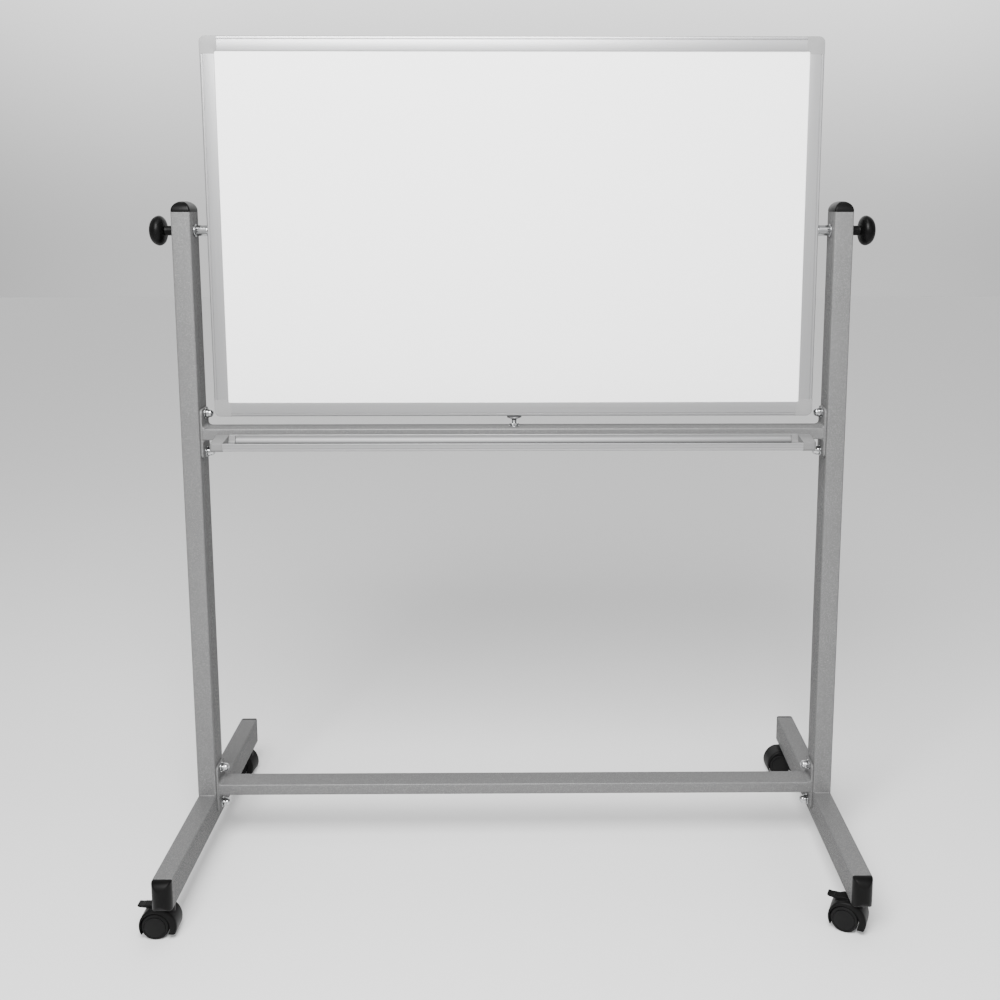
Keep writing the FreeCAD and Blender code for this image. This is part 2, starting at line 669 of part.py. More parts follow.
def knob_insert():
    """Threaded bush inside the knob, running on the stud."""
    start = V(post_outer_x + face_gap, 0, pivot_height)
    outer = rod(insert_radius, start, V(1, 0, 0), insert_length)
    return outer.cut(rod(stud_diameter / 2 + running_clearance, start, V(1, 0, 0), insert_length))


def knobs():
    save("right_knob", knob())
    save("left_knob", mirrored_x(knob()))
    save("right_knob_insert", knob_insert())
    save("left_knob_insert", mirrored_x(knob_insert()))


# ---------------------------------------------------------------- casters
def hood(with_slot):
    """Caster body about its swivel axis, trailing towards -X: twin fenders round a central web."""
    start = hood_centre - V(0, hood_half_width, 0)
    body = rod(hood_radius, start, V(0, 1, 0), 2 * hood_half_width)
    body = body.makeFillet(hood_edge_radius, [e for e in body.Edges if len(e.Vertexes) == 1])
    wide = 2 * hood_radius
    body = body.common(block(-wide, wide, -wide, wide, hood_bottom, hood_top))
    boss_start = V(0, 0, caster_height - hood_boss_depth)
    boss = rod(hood_boss_radius, boss_start, V(0, 0, 1), hood_boss_depth - collar_height - collar_gap)
    body = body.fuse(boss)
    for side in (-1, 1):
        far = side * (hood_half_width + 5)
        near = side * hood_web
        cavity = rod(cavity_radius, V(-trail, min(near, far), axle_z), V(0, 1, 0), abs(far - near))
        body = body.cut(cavity)
    web_middle = V(-trail, -hood_web, axle_z)
    below_web = rod(cavity_radius, web_middle, V(0, 1, 0), 2 * hood_web)
    below_web = below_web.cut(rod(wheel_radius - 4, web_middle, V(0, 1, 0), 2 * hood_web))
    body = body.cut(below_web.common(block(-wide, wide, -wide, wide, 0, axle_z - 2 * axle_radius)))
    pin_hole_start = V(0, 0, caster_height - stem_depth - collar_gap)
    pin_hole = rod(bolt_diameter / 2 + running_clearance, pin_hole_start, V(0, 0, 1), stem_depth + collar_gap)
    body = body.cut(pin_hole)
    body = body.cut(rod(axle_radius, V(-trail, -wide, axle_z), V(0, 1, 0), 2 * wide))
    if with_slot:
        half = lever_half_width + face_gap
        near, far = lever_pivot.x + 2 * lever_pivot_lead, lever_tip - past
        level = lever_pivot.x + lever_pivot_lead
        drop = (level - far) * math.tan(math.radians(lever_throw))
        corners = [V(near, -half, caster_height), V(near, -half, lever_slot_floor),
                   V(level, -half, lever_slot_floor), V(far, -half, lever_slot_floor - drop),
                   V(far, -half, caster_height), V(near, -half, caster_height)]
        body = body.cut(Part.Face(Part.makePolygon(corners)).extrude(V(0, 2 * half, 0)))
        pin_start = lever_pivot - V(0, half + past, 0)
        body = body.cut(rod(lever_pin_radius, pin_start, V(0, 1, 0), 2 * (half + past)))
    return body.removeSplitter()


def wheel(side):
    """One of the twin wheels about its axle: rounded tread, dished cover, blind hub."""
    inner, outer = wheel_gap / 2, wheel_gap / 2 + wheel_width
    r, bore = wheel_radius, axle_radius + running_clearance
    blind = outer - 1.5
    half = [(inner, bore), (inner, 8), (inner + 4, 8.5), (inner + 4, r - 6), (inner, r - 5), (inner, r - 2.2),
            (inner + 0.6, r - 0.8), (inner + 2.2, r), (outer - 4.2, r), (outer - 2.0, r - 0.7),
            (outer - 0.8, r - 2.2), (outer - 0.6, r - 4.4), (outer - 1.4, r - 5.0), (outer - 1.2, r - 5.8),
            (outer - 0.2, r - 6.6), (outer + 0.5, r - 14), (outer + 0.7, 0), (blind, 0), (blind, bore)]
    points = [V(radius, side * y, 0) for y, radius in half]
    return moved(turned_profile(points, V(0, 0, 0), V(0, 1, 0)), -trail, 0, axle_z)


def axle():
    reach = wheel_gap / 2 + wheel_width - 2.0
    return rod(axle_radius, V(-trail, -reach, axle_z), V(0, 1, 0), 2 * reach)


def lever():
    """Brake pedal: flat tab hinged in the hood's slot, its tip curling up past the fender."""
    p = lever_pivot
    low = lever_slot_floor + face_gap
    top = caster_height
    tab = Part.makePolygon([V(p.x + 3.5, 0, low), V(p.x + 3.5, 0, top - 3.8), V(p.x - 6, 0, top - 3.6),
                            V(lever_tip + 8, 0, top - 4.8), V(lever_tip + 2, 0, top - 4.0),
                            V(lever_tip, 0, top - 5.4), V(lever_tip + 3, 0, top - 8.6),
                            V(lever_tip + 16, 0, low), V(p.x + 3.5, 0, low)])
    shape = moved(Part.Face(tab).extrude(V(0, 2 * lever_half_width, 0)), 0, -lever_half_width, 0)
    tips = [e for e in shape.Edges if e.CenterOfMass.x < lever_tip + 3 and e.Length < 6
            and abs(abs(e.CenterOfMass.y) - lever_half_width) < 0.01]
    shape = shape.makeFillet(1.0, tips)
    return shape.cut(rod(lever_pin_radius + running_clearance, p - V(0, 20, 0), V(0, 1, 0), 40))


def lever_pin():
    reach = lever_half_width + face_gap + past - fit_clearance
    return rod(lever_pin_radius, lever_pivot - V(0, reach, 0), V(0, 1, 0), 2 * reach)


def stem():
    """Threaded caster stem fixed in the foot: collar under the tube, plain pin down into the hood."""
    start = V(0, 0, foot_bottom - stem_depth)
    pin = rod(bolt_diameter / 2, start, V(0, 0, 1), stem_depth + stem_rise)
    collar = rod(collar_radius, V(0, 0, foot_bottom - collar_height), V(0, 0, 1), collar_height)
    return pin.fuse(collar).removeSplitter()


def socket():
    """Nut welded over the hole inside the foot."""
    start = V(0, 0, foot_bottom + tube_wall)
    nut = hexagon(nut_across_flats, start, V(0, 0, 1), socket_height)
    return nut.cut(rod(bolt_diameter / 2, start, V(0, 0, 1), socket_height))


def casters():
    stems, sockets = [], []
    for name, angle in swivel_turn.items():
        x = -post_x if name.endswith("left") else post_x
        y = -stem_y if name.startswith("front") else stem_y

        def put(shape):
            return moved(turned(shape, V(0, 0, 1), angle), x, y)

        braked = name.startswith("front")
        save(name + "_caster_hood", put(hood(braked)))
        save(name + "_axle", put(axle()))
        save(name + "_wheel_near", put(wheel(-1)))
        save(name + "_wheel_far", put(wheel(1)))
        if braked:
            save(name + "_brake_lever", put(lever()))
            save(name + "_lever_pin", put(lever_pin()))
        stems.append(put(stem()))
        sockets.append(put(socket()))
    save("caster_stems", *stems)
    save("caster_sockets", *sockets)


side_frames()
crossbars()
tray()
stop()
board()
pivots()
knobs()
casters()
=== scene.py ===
# %% [markdown]
# # A rolling reversible whiteboard
# The stand, the board and the four casters come packed as a fixed frame: every part already has its real
# size and place, in metres, with the floor at z = 0, the front of the board towards -Y and +Z up. Blender's
# job is the look. The frame is loaded first and its box is kept, so that the finished model can be compared
# with it at the end.

# %% Load the frame
import json
import math
import bpy
import numpy as np
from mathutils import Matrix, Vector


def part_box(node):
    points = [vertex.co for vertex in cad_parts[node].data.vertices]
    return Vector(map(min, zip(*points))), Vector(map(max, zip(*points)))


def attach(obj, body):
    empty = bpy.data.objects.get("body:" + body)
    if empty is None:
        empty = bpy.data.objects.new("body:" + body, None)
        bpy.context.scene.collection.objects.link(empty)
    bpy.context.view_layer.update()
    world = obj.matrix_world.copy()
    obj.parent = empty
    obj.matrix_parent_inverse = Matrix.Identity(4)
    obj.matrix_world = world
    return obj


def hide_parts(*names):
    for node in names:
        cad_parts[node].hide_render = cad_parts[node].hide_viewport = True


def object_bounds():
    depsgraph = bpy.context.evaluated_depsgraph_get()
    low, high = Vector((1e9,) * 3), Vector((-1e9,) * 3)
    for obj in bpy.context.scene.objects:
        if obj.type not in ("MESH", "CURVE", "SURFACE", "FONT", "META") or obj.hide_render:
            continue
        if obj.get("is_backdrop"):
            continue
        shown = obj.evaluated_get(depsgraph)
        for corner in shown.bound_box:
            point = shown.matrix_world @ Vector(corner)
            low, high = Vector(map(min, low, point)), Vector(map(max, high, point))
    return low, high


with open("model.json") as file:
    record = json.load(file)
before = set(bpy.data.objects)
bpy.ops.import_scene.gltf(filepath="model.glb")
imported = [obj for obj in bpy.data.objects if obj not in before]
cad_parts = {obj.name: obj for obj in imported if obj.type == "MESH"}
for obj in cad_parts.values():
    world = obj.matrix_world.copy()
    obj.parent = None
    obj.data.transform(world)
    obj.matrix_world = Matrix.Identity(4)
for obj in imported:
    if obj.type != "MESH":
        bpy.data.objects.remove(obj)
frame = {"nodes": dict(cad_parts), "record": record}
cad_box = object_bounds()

mm = 0.001
X, Y, Z = np.eye(3)


# %% [markdown]
# ## Places from the frame
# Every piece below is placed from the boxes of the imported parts. One helper turns a box into its lowest and
# highest corner as arrays, and the places that several pieces share are read once, here.

# %% Read the shared places
def corners(*nodes):
    """Lowest and highest corner of the box round all the named nodes."""
    boxes = [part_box(node) for node in nodes]
    return np.min([b[0] for b in boxes], 0), np.max([b[1] for b in boxes], 0)


post_low, post_high = corners("right_post")
foot_low, foot_high = corners("right_foot")
bar_low, bar_high = corners("upper_crossbar")
low_bar_low, low_bar_high = corners("lower_crossbar")
board_low, board_high = corners("left_rail", "right_rail", "top_rail", "bottom_rail")
tube_width, tube_depth = post_high[0] - post_low[0], post_high[1] - post_low[1]
post_x = (post_low[0] + post_high[0]) / 2
pivot_z = (board_low[2] + board_high[2]) / 2
print("post centre x", round(post_x, 4), "pivot z", round(pivot_z, 4))

# %% [markdown]
# ## The camera
# The view is from a little above the board's middle, nearly straight on, so that the posts stay upright and
# the feet run towards the viewer. A downward tilt does part of that and a small lens shift the rest: shift
# alone would be truer to a view camera, but a large shift would push the object out of the other views.

# %% Make the camera
camera_place = (0.0354, -2.2810, 1.3823)
camera_tilt = 8.55            # degrees below level
camera_turn = 0.54            # degrees to the right of straight ahead
camera_data = bpy.data.cameras.new("studio_camera")
camera_data.sensor_width = 36.0
camera_data.lens = 40.69
camera_data.shift_x, camera_data.shift_y = -0.0419, -0.13
camera = bpy.data.objects.new("studio_camera", camera_data)
camera.location = camera_place
camera.rotation_euler = (math.radians(90 - camera_tilt), 0, math.radians(-camera_turn))
bpy.context.scene.collection.objects.link(camera)
bpy.context.scene.camera = camera
print("lens", camera_data.lens, "mm")


# %% [markdown]
# ## Floor and light
# A plain pale floor and a pale world make an even studio. The stand is painted metal, so what it reflects
# matters as much as what lights it: a broad soft panel above and in front makes the front faces lightest,
# and the world is darker to the left and right, as between black flags, so that the sides of the tubes and
# the flanks of the bright nuts fall off to grey. The world also dims a little towards its horizon, where the
# floor ends, and towards its ceiling, which would wash out the upward faces.

# %% Make the floor and the world
def new_finish(name, colour, roughness, metallic=0.0):
    """Material with one Principled shader; returns it with its node tree and shader."""
    made = bpy.data.materials.new(name)
    made.use_nodes = True
    tree = made.node_tree
    shader = tree.nodes["Principled BSDF"]
    shader.inputs["Base Color"].default_value = (*colour, 1)
    shader.inputs["Roughness"].default_value = roughness
    shader.inputs["Metallic"].default_value = metallic
    return made, tree, shader


def grey(level):
    return (level, level, level)


floor_reach = 14.0
floor_mesh = bpy.data.meshes.new("studio_floor")
floor_signs = np.array([(-1, -1, 0), (1, -1, 0), (1, 1, 0), (-1, 1, 0)])
floor_mesh.from_pydata((floor_reach * floor_signs).tolist(), [], [(0, 1, 2, 3)])
floor_mesh.materials.append(new_finish("pale_floor", grey(0.78), 0.7)[0])
floor = bpy.data.objects.new("studio_floor", floor_mesh)
bpy.context.scene.collection.objects.link(floor)
floor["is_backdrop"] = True

world = bpy.data.worlds.new("studio")
world.use_nodes = True
nodes, links = world.node_tree.nodes, world.node_tree.links
background = nodes["Background"]
background.inputs["Color"].default_value = (1, 1, 1, 1)
split = nodes.new("ShaderNodeSeparateXYZ")
links.new(nodes.new("ShaderNodeTexCoord").outputs["Generated"], split.inputs["Vector"])


def faded(value, *numbers):
    """Smooth step of a value: From Min, From Max, To Min, To Max."""
    fade = nodes.new("ShaderNodeMapRange")
    fade.interpolation_type = "SMOOTHSTEP"
    for socket, number in zip(("From Min", "From Max", "To Min", "To Max"), numbers):
        fade.inputs[socket].default_value = number
    links.new(value, fade.inputs["Value"])
    return fade.outputs["Result"]


def worked(operation, first, second=None):
    node = nodes.new("ShaderNodeMath")
    node.operation = operation
    for socket, value in zip(node.inputs, (first, second)):
        if value is not None:
            links.new(value, socket)
    return node.outputs["Value"]


flanks = faded(worked("ABSOLUTE", split.outputs["X"]), 0.28, 0.75, 2.5, 0.7)
horizon = faded(split.outputs["Z"], -0.05, 0.35, 0.32, 1.0)
ceiling = faded(split.outputs["Z"], 0.35, 0.9, 1.0, 0.25)
links.new(worked("MULTIPLY", flanks, worked("MULTIPLY", horizon, ceiling)), background.inputs["Strength"])
bpy.context.scene.world = world
print("floor", 2 * floor_reach, "m across; world nodes", len(nodes))


# %% Make the lamps
def soft_panel(name, place, aim, size, watts):
    """Square area lamp at place; it is tipped and turned so that its light leaves towards aim."""
    lamp = bpy.data.lights.new(name, "AREA")
    lamp.size, lamp.energy = size, watts
    made = bpy.data.objects.new(name, lamp)
    made.location = place
    x, y, z = np.subtract(place, aim)
    made.rotation_euler = (math.atan2(math.hypot(x, y), z), 0, math.atan2(x, -y))
    bpy.context.scene.collection.objects.link(made)
    return made


soft_panel("key_panel", (-0.4, -2.0, 2.8), (0, 0, 1.2), 1.6, 225)
soft_panel("fill_panel", (2.4, -2.2, 1.6), (0, 0, 0.8), 1.6, 14)
soft_panel("overhead_panel", (0.2, -0.4, 3.4), (0, -0.1, 0), 0.9, 14)


# %% [markdown]
# ## From a grid of points to a closed shell
# Nearly every piece here is one of two kinds of surface: a profile carried along a path, or a profile turned
# about an axis. Both give a grid of points, rows along the path and columns round the profile. One function
# joins such a grid into quads. Columns close on themselves, rows do too on a ring such as a washer, and the
# ends are closed by a flat face or by a pole, which is one shared point. The signed volume of the result
# says whether its faces look outwards, and a shell that is inside out is turned round.
#
# Each face corner also gets a surface coordinate in metres, measured along the rows and round the columns,
# because brushed and extruded metal has lines that run along the piece.

# %% Grid to shell
def signed_volume(points, faces):
    """Sum over triangles of first point . (second x third) / 6: positive if the faces look outwards."""
    total = 0.0
    for face in faces:
        p = points[face]
        total += (p[:, 0] * np.cross(p[:, 1], p[:, 2])).sum()
        if face.shape[1] == 4:
            total += (p[:, 0] * np.cross(p[:, 2], p[:, 3])).sum()
    return total / 6


def shell(rows, ring=False, start="face", end="face"):
    """Closed shell of a (rows, columns, 3) grid. start and end close the open ends: "face" lays one flat
    face over the last outline, and a point makes a fan of triangles to that pole."""
    rows = np.asarray(rows, float)
    count, around = rows.shape[:2]
    points = rows.reshape(-1, 3)
    i, j = np.meshgrid(np.arange(count if ring else count - 1), np.arange(around), indexing="ij")
    i, j = i.ravel(), j.ravel()
    i2, j2 = (i + 1) % count, (j + 1) % around
    quads = np.stack([i * around + j, i2 * around + j, i2 * around + j2, i * around + j2], 1)
    step = np.linalg.norm(np.diff(rows, axis=0, append=rows[:1]), axis=2).mean(1)
    along = np.concatenate([[0], np.cumsum(step)])
    widest = np.argmax(np.linalg.norm(np.diff(rows, axis=1), axis=2).sum(1))
    side = np.linalg.norm(np.diff(rows[widest], axis=0, append=rows[widest][:1]), axis=1)
    across = np.concatenate([[0], np.cumsum(side)])
    quad_uv = np.stack([np.stack([along[u], across[v]], 1)
                        for u, v in ((i, j), (i + 1, j), (i + 1, j + 1), (i, j + 1))], 1)
    triangles, triangle_uv, lids = [], [], []
    k = np.arange(around)
    for first, closing in ((True, start), (False, end)):
        if ring:
            continue
        base = 0 if first else (count - 1) * around
        a, b = base + k, base + (k + 1) % around
        if isinstance(closing, str):
            lids.append(a if first else a[::-1])
            continue
        pole = len(points)
        points = np.vstack([points, closing])
        rim = [a, b] if first else [b, a]
        triangles.append(np.stack(rim + [np.full(around, pole)], 1))
        level = along[0] if first else along[count - 1]
        triangle_uv.append(np.stack([np.full((around, 3), level), np.stack([across[k]] * 3, 1)], 2))
    faces = [quads] + triangles
    made = {"points": points, "faces": faces, "uvs": [quad_uv] + triangle_uv, "lids": lids}
    fans = [np.stack([np.full(len(l) - 2, l[0]), l[1:-1], l[2:]], 1) for l in lids]
    if signed_volume(points, faces + fans) < 0:
        made["faces"] = [f[:, ::-1] for f in faces]
        made["uvs"] = [u[:, ::-1] for u in made["uvs"]]
        made["lids"] = [l[::-1] for l in lids]
    return made


unit_square = np.array([(0, 0, 0), (1, 0, 0), (1, 1, 0), (0, 1, 0)], float)
unit_cube = shell([unit_square, unit_square + Z])
print("faces of a cube:", sum(len(f) for f in unit_cube["faces"]) + len(unit_cube["lids"]))


# %% [markdown]
# A piece is one or more shells in one mesh. It is smooth, with edges kept sharp where its faces meet at more
# than a set angle; it gets the finish and the body that it rides on, and hides the imported parts it stands
# for.

# %% Shells to a piece
sharp_angle = math.radians(38)


def piece(name, shells, finish, body, slot, *stands_for):
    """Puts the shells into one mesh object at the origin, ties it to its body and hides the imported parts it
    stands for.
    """
    points, faces, uvs, base = [], [], [], 0
    for one in shells:
        for block, uv in zip(one["faces"], one["uvs"]):
            faces += (block + base).tolist()
            uvs.append(uv.reshape(-1, 2))
        for lid in one["lids"]:
            faces.append((lid + base).tolist())
            flat = one["points"][lid]
            uvs.append(flat[:, np.argsort(np.ptp(flat, axis=0))[1:]])
        points.append(one["points"])
        base += len(one["points"])
    mesh = bpy.data.meshes.new(name)
    mesh.from_pydata(np.vstack(points).tolist(), [], faces)
    mesh.uv_layers.new(name="surface").data.foreach_set("uv", np.vstack(uvs).ravel())
    mesh.shade_smooth()
    mesh.set_sharp_from_angle(angle=sharp_angle)
    mesh.materials.append(finish)
    made = bpy.data.objects.new(name, mesh)
    bpy.context.scene.collection.objects.link(made)
    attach(made, body)
    if stands_for:
        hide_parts(*stands_for)
    print(f"{name}: {len(shells)} shells, {len(mesh.polygons)} faces")
    return made


def mirrored(one):
    """The same shell on the object's other side: x changes sign and the faces turn round."""
    return {"points": one["points"] * (-1, 1, 1), "faces": [f[:, ::-1] for f in one["faces"]],
            "uvs": [u[:, ::-1] for u in one["uvs"]], "lids": [l[::-1] for l in one["lids"]]}


def both_sides(*shells):
    """The shells and their mirror images on the object's other side."""
    return [*shells, *map(mirrored, shells)]


# %% [markdown]
# ## Outlines
# Three outline helpers serve all the pieces: a rectangle with round corners, any polygon whose corners are
# softened by arcs tangent to their two sides, and the stacking of outlines along a straight axis. Rounding
# the ends of a bar is the same stacking with each end outline drawn in along a quarter circle.

# %% Outline helpers
def rounded_rectangle(width, height, radius, steps=6):
    """Each corner is its centre plus radius times (cos, sin) over a quarter turn, anticlockwise."""
    turn = np.arange(4)[:, None] * np.pi / 2 + np.linspace(0, np.pi / 2, steps)
    signs = np.array([(1, 1), (-1, 1), (-1, -1), (1, -1)])[:, None, :]
    middle = signs * (np.array([width, height]) / 2 - radius)
    return (middle + radius * np.stack([np.cos(turn), np.sin(turn)], 2)).reshape(-1, 2)


def softened(points, radii, steps=6):
    """Polygon whose corners are arcs: the centre lies on the bisector, radius / sin(half angle) from the
    corner, and the arc's points are the two tangent points' radius vectors blended by equal turns."""
    p = np.asarray(points, float)
    r = np.broadcast_to(np.asarray(radii, float), len(p))[:, None]
    before, after = np.roll(p, 1, 0) - p, np.roll(p, -1, 0) - p
    before /= np.linalg.norm(before, axis=1, keepdims=True)
    after /= np.linalg.norm(after, axis=1, keepdims=True)
    half = np.arccos(np.clip((before * after).sum(1, keepdims=True), -1, 1)) / 2
    middle = (before + after) / np.linalg.norm(before + after, axis=1, keepdims=True)
    centre = p + middle * r / np.sin(half)
    first = p + before * r / np.tan(half) - centre
    last = p + after * r / np.tan(half) - centre
    turn = np.pi - 2 * half[:, None]
    t = np.linspace(0, 1, steps)[None, :, None]
    arc = (np.sin((1 - t) * turn) * first[:, None] + np.sin(t * turn) * last[:, None]) / np.sin(turn)
    return (centre[:, None] + arc).reshape(-1, 2)


def stacked(outlines, depths, right, up, along, origin=(0, 0, 0)):
    """Grid of outlines: origin + first coordinate * right + second * up + depth * along."""
    flat = np.asarray(outlines, float)
    if flat.ndim == 2:
        flat = np.broadcast_to(flat, (len(depths), *flat.shape))
    level = np.asarray(depths, float)[:, None, None] * np.asarray(along, float)
    return np.asarray(origin, float) + flat[..., :1] * right + flat[..., 1:] * up + level


def drawn_in(length, edge, steps=5):
    """Insets and depths that draw both ends of a length in along quarter circles of radius edge."""
    turn = np.linspace(0, np.pi / 2, steps)
    inset, depth = edge * (1 - np.sin(turn)), edge * (1 - np.cos(turn))
    return np.concatenate([inset, inset[::-1]]), np.concatenate([depth, length - depth[::-1]])


def soft_bar(width, height, corner, length, edge, right, up, along, origin):
    """Bar with round corners and softened ends."""
    inset, depth = drawn_in(length, edge)
    outlines = [rounded_rectangle(width - 2 * i, height - 2 * i, max(corner - i, 0.1 * mm)) for i in inset]
    return shell(stacked(outlines, depth, right, up, along, origin))


def turned(profile, origin, axis, steps=48, ring=False, start="face", end="face", limit=None):
    """Surface of revolution: profile rows are (distance along the axis, radius). limit gives the largest
    radius at each turn, as on a hexagon."""
    axis = np.asarray(axis, float)
    right = np.cross(axis, Z if abs(axis[2]) < 0.9 else X)
    right /= np.linalg.norm(right)
    up = np.cross(axis, right)
    turn = np.linspace(0, 2 * np.pi, steps, endpoint=False)[None, :, None]
    along, radius = np.asarray(profile, float).T[..., None, None]
    if limit:
        radius = np.minimum(radius, limit(turn))
    rows = np.asarray(origin, float) + along * axis + radius * (np.cos(turn) * right + np.sin(turn) * up)
    return shell(rows, ring, start, end)


def hollow_tube(width, height, wall, corner, length, right, up, along, origin, edge=0.4 * mm):
    """Open tube as a ring of outlines: out along the outer skin, over the rim, back along the bore."""
    outer = rounded_rectangle(width, height, corner)
    rim = rounded_rectangle(width - 2 * edge, height - 2 * edge, corner - edge)
    bore = rounded_rectangle(width - 2 * wall, height - 2 * wall, max(corner - wall, 0.5 * mm))
    outlines = [rim, outer, outer, rim, bore, bore]
    depths = [0, edge, length - edge, length, length, 0]
    return shell(stacked(outlines, depths, right, up, along, origin), ring=True)


check = soft_bar(2, 1, 0.1, 3, 0.05, X, Y, Z, (0, 0, 0))
print("a soft 2 x 1 x 3 bar has", len(check["points"]), "points")


# %% [markdown]
# ## Finishes
# The finishes share five effects, each a node group that puts out only a number for every point: a fine
# grain for bumps, bright flecks for metallic paint, lines along a drawn or extruded piece, slow uneven
# patches that break up the gloss as handling does, and a mask of painted shade that darkens upward faces
# low in a hollow. The shader itself stays in each material.

# %% Node helpers
def new_group(name, inputs, outputs):
    """Node group with number inputs (name: default) and number outputs."""
    group = bpy.data.node_groups.new(name, "ShaderNodeTree")
    for label, value in inputs.items():
        socket = group.interface.new_socket(label, in_out="INPUT", socket_type="NodeSocketFloat")
        socket.default_value = value
    for label in outputs:
        group.interface.new_socket(label, in_out="OUTPUT", socket_type="NodeSocketFloat")
    return group, group.nodes.new("NodeGroupInput"), group.nodes.new("NodeGroupOutput")


def add(tree, kind, **settings):
    """Adds a node; a setting that names one of its sockets sets that socket, any other is a property."""
    node = tree.nodes.new(kind)
    for key, value in settings.items():
        label = key.replace("_", " ")
        if label in node.inputs:
            node.inputs[label].default_value = value
        else:
            setattr(node, key, value)
    return node


def remapped(tree, value, low, high, to_low, to_high):
    """Stretches a value between two limits; what lies outside them stays at the ends."""
    node = add(tree, "ShaderNodeMapRange")
    for socket, number in zip(("From Min", "From Max", "To Min", "To Max"), (low, high, to_low, to_high)):
        node.inputs[socket].default_value = number
    tree.links.new(value, node.inputs["Value"])
    return node.outputs["Result"]


def object_place(tree):
    return add(tree, "ShaderNodeTexCoord").outputs["Object"]


def noise(tree, place, scale, detail=2.0, roughness=0.5):
    node = add(tree, "ShaderNodeTexNoise", Detail=detail, Roughness=roughness)
    tree.links.new(place, node.inputs["Vector"])
    if isinstance(scale, float):
        node.inputs["Scale"].default_value = scale
    else:
        tree.links.new(scale, node.inputs["Scale"])
    return node.outputs["Fac"]


# %% Grain: even small bumps, as moulded plastic and sprayed powder have
grain, source, sink = new_group("grain", {"Scale": 900.0}, ["Height"])
grain.links.new(noise(grain, object_place(grain), source.outputs["Scale"], 3.0, 0.6), sink.inputs["Height"])
print("grain group", len(grain.nodes), "nodes")

# %% Flecks: small bright grains scattered in metallic paint
flecks, source, sink = new_group("flecks", {"Scale": 1500.0, "Amount": 0.3}, ["Mask"])
cells = add(flecks, "ShaderNodeTexVoronoi", feature="F1")
flecks.links.new(object_place(flecks), cells.inputs["Vector"])
flecks.links.new(source.outputs["Scale"], cells.inputs["Scale"])
split = add(flecks, "ShaderNodeSeparateColor")
flecks.links.new(cells.outputs["Color"], split.inputs["Color"])
above = add(flecks, "ShaderNodeMath", operation="LESS_THAN")
flecks.links.new(split.outputs["Red"], above.inputs[0])
flecks.links.new(source.outputs["Amount"], above.inputs[1])
flecks.links.new(above.outputs["Value"], sink.inputs["Mask"])
print("flecks group", len(flecks.nodes), "nodes")

# %% Lines: stretched noise along a drawn piece, read from its surface coordinate in metres
lines, source, sink = new_group("drawn_lines", {"Along": 3.0, "Across": 2500.0}, ["Height"])
surface = add(lines, "ShaderNodeUVMap", uv_map="surface").outputs["UV"]
pair = add(lines, "ShaderNodeCombineXYZ")
lines.links.new(source.outputs["Along"], pair.inputs["X"])
lines.links.new(source.outputs["Across"], pair.inputs["Y"])
stretch = add(lines, "ShaderNodeVectorMath", operation="MULTIPLY")
lines.links.new(surface, stretch.inputs[0])
lines.links.new(pair.outputs["Vector"], stretch.inputs[1])
lines.links.new(noise(lines, stretch.outputs["Vector"], 1.0, 2.0), sink.inputs["Height"])
print("drawn lines group", len(lines.nodes), "nodes")

# %% Patches: slow change of gloss and tone over a hand's width
patches, source, sink = new_group("patches", {"Scale": 9.0}, ["Amount"])
spread = noise(patches, object_place(patches), source.outputs["Scale"], 4.0, 0.65)
patches.links.new(remapped(patches, spread, 0.35, 0.65, 0.0, 1.0), sink.inputs["Amount"])
print("patches group", len(patches.nodes), "nodes")

# %% Painted shade: a mask that is more on faces that look up, less as the height goes from Low to High
# A mask of painted shade: where it is 1, a finish's colour is darkened as if the face lay in shade low in a
# hollow
painted_shade_group, source, sink = new_group("painted_trough_shade", {"Low": 0.0, "High": 1.0}, ["Mask"])
place = add(painted_shade_group, "ShaderNodeTexCoord")
upward = add(painted_shade_group, "ShaderNodeSeparateXYZ")
painted_shade_group.links.new(place.outputs["Normal"], upward.inputs["Vector"])
height = add(painted_shade_group, "ShaderNodeSeparateXYZ")
painted_shade_group.links.new(place.outputs["Object"], height.inputs["Vector"])
depth = add(painted_shade_group, "ShaderNodeMapRange")
painted_shade_group.links.new(height.outputs["Z"], depth.inputs["Value"])
for output, socket in (("Low", "From Min"), ("High", "From Max")):
    painted_shade_group.links.new(source.outputs[output], depth.inputs[socket])
depth.inputs["To Min"].default_value = 1.0
depth.inputs["To Max"].default_value = 0.0
both = add(painted_shade_group, "ShaderNodeMath", operation="MULTIPLY")
painted_shade_group.links.new(remapped(painted_shade_group, upward.outputs["Z"], 0.0, 0.35, 0.0, 1.0), both.inputs[0])
painted_shade_group.links.new(depth.outputs["Result"], both.inputs[1])
painted_shade_group.links.new(both.outputs["Value"], sink.inputs["Mask"])
print("settled dust group", len(painted_shade_group.nodes), "nodes")


# %% Finish helpers
def effect(tree, group, output, **settings):
    node = tree.nodes.new("ShaderNodeGroup")
    node.node_tree = group
    for key, value in settings.items():
        node.inputs[key].default_value = value
    return node.outputs[output]


def mixed_colour(tree, mask, first, second):
    """Colour that goes from first to second as the mask goes from 0 to 1; either may be another node's."""
    mix = add(tree, "ShaderNodeMix", data_type="RGBA")
    tree.links.new(mask, mix.inputs[0])
    for socket, colour in ((mix.inputs[6], first), (mix.inputs[7], second)):
        if isinstance(colour, tuple):
            socket.default_value = (*colour, 1)
        else:
            tree.links.new(colour, socket)
    return mix.outputs[2]


def bump(tree, shader, height, strength, distance):
    node = add(tree, "ShaderNodeBump", Strength=strength, Distance=distance)
    tree.links.new(height, node.inputs["Height"])
    tree.links.new(node.outputs["Normal"], shader.inputs["Normal"])


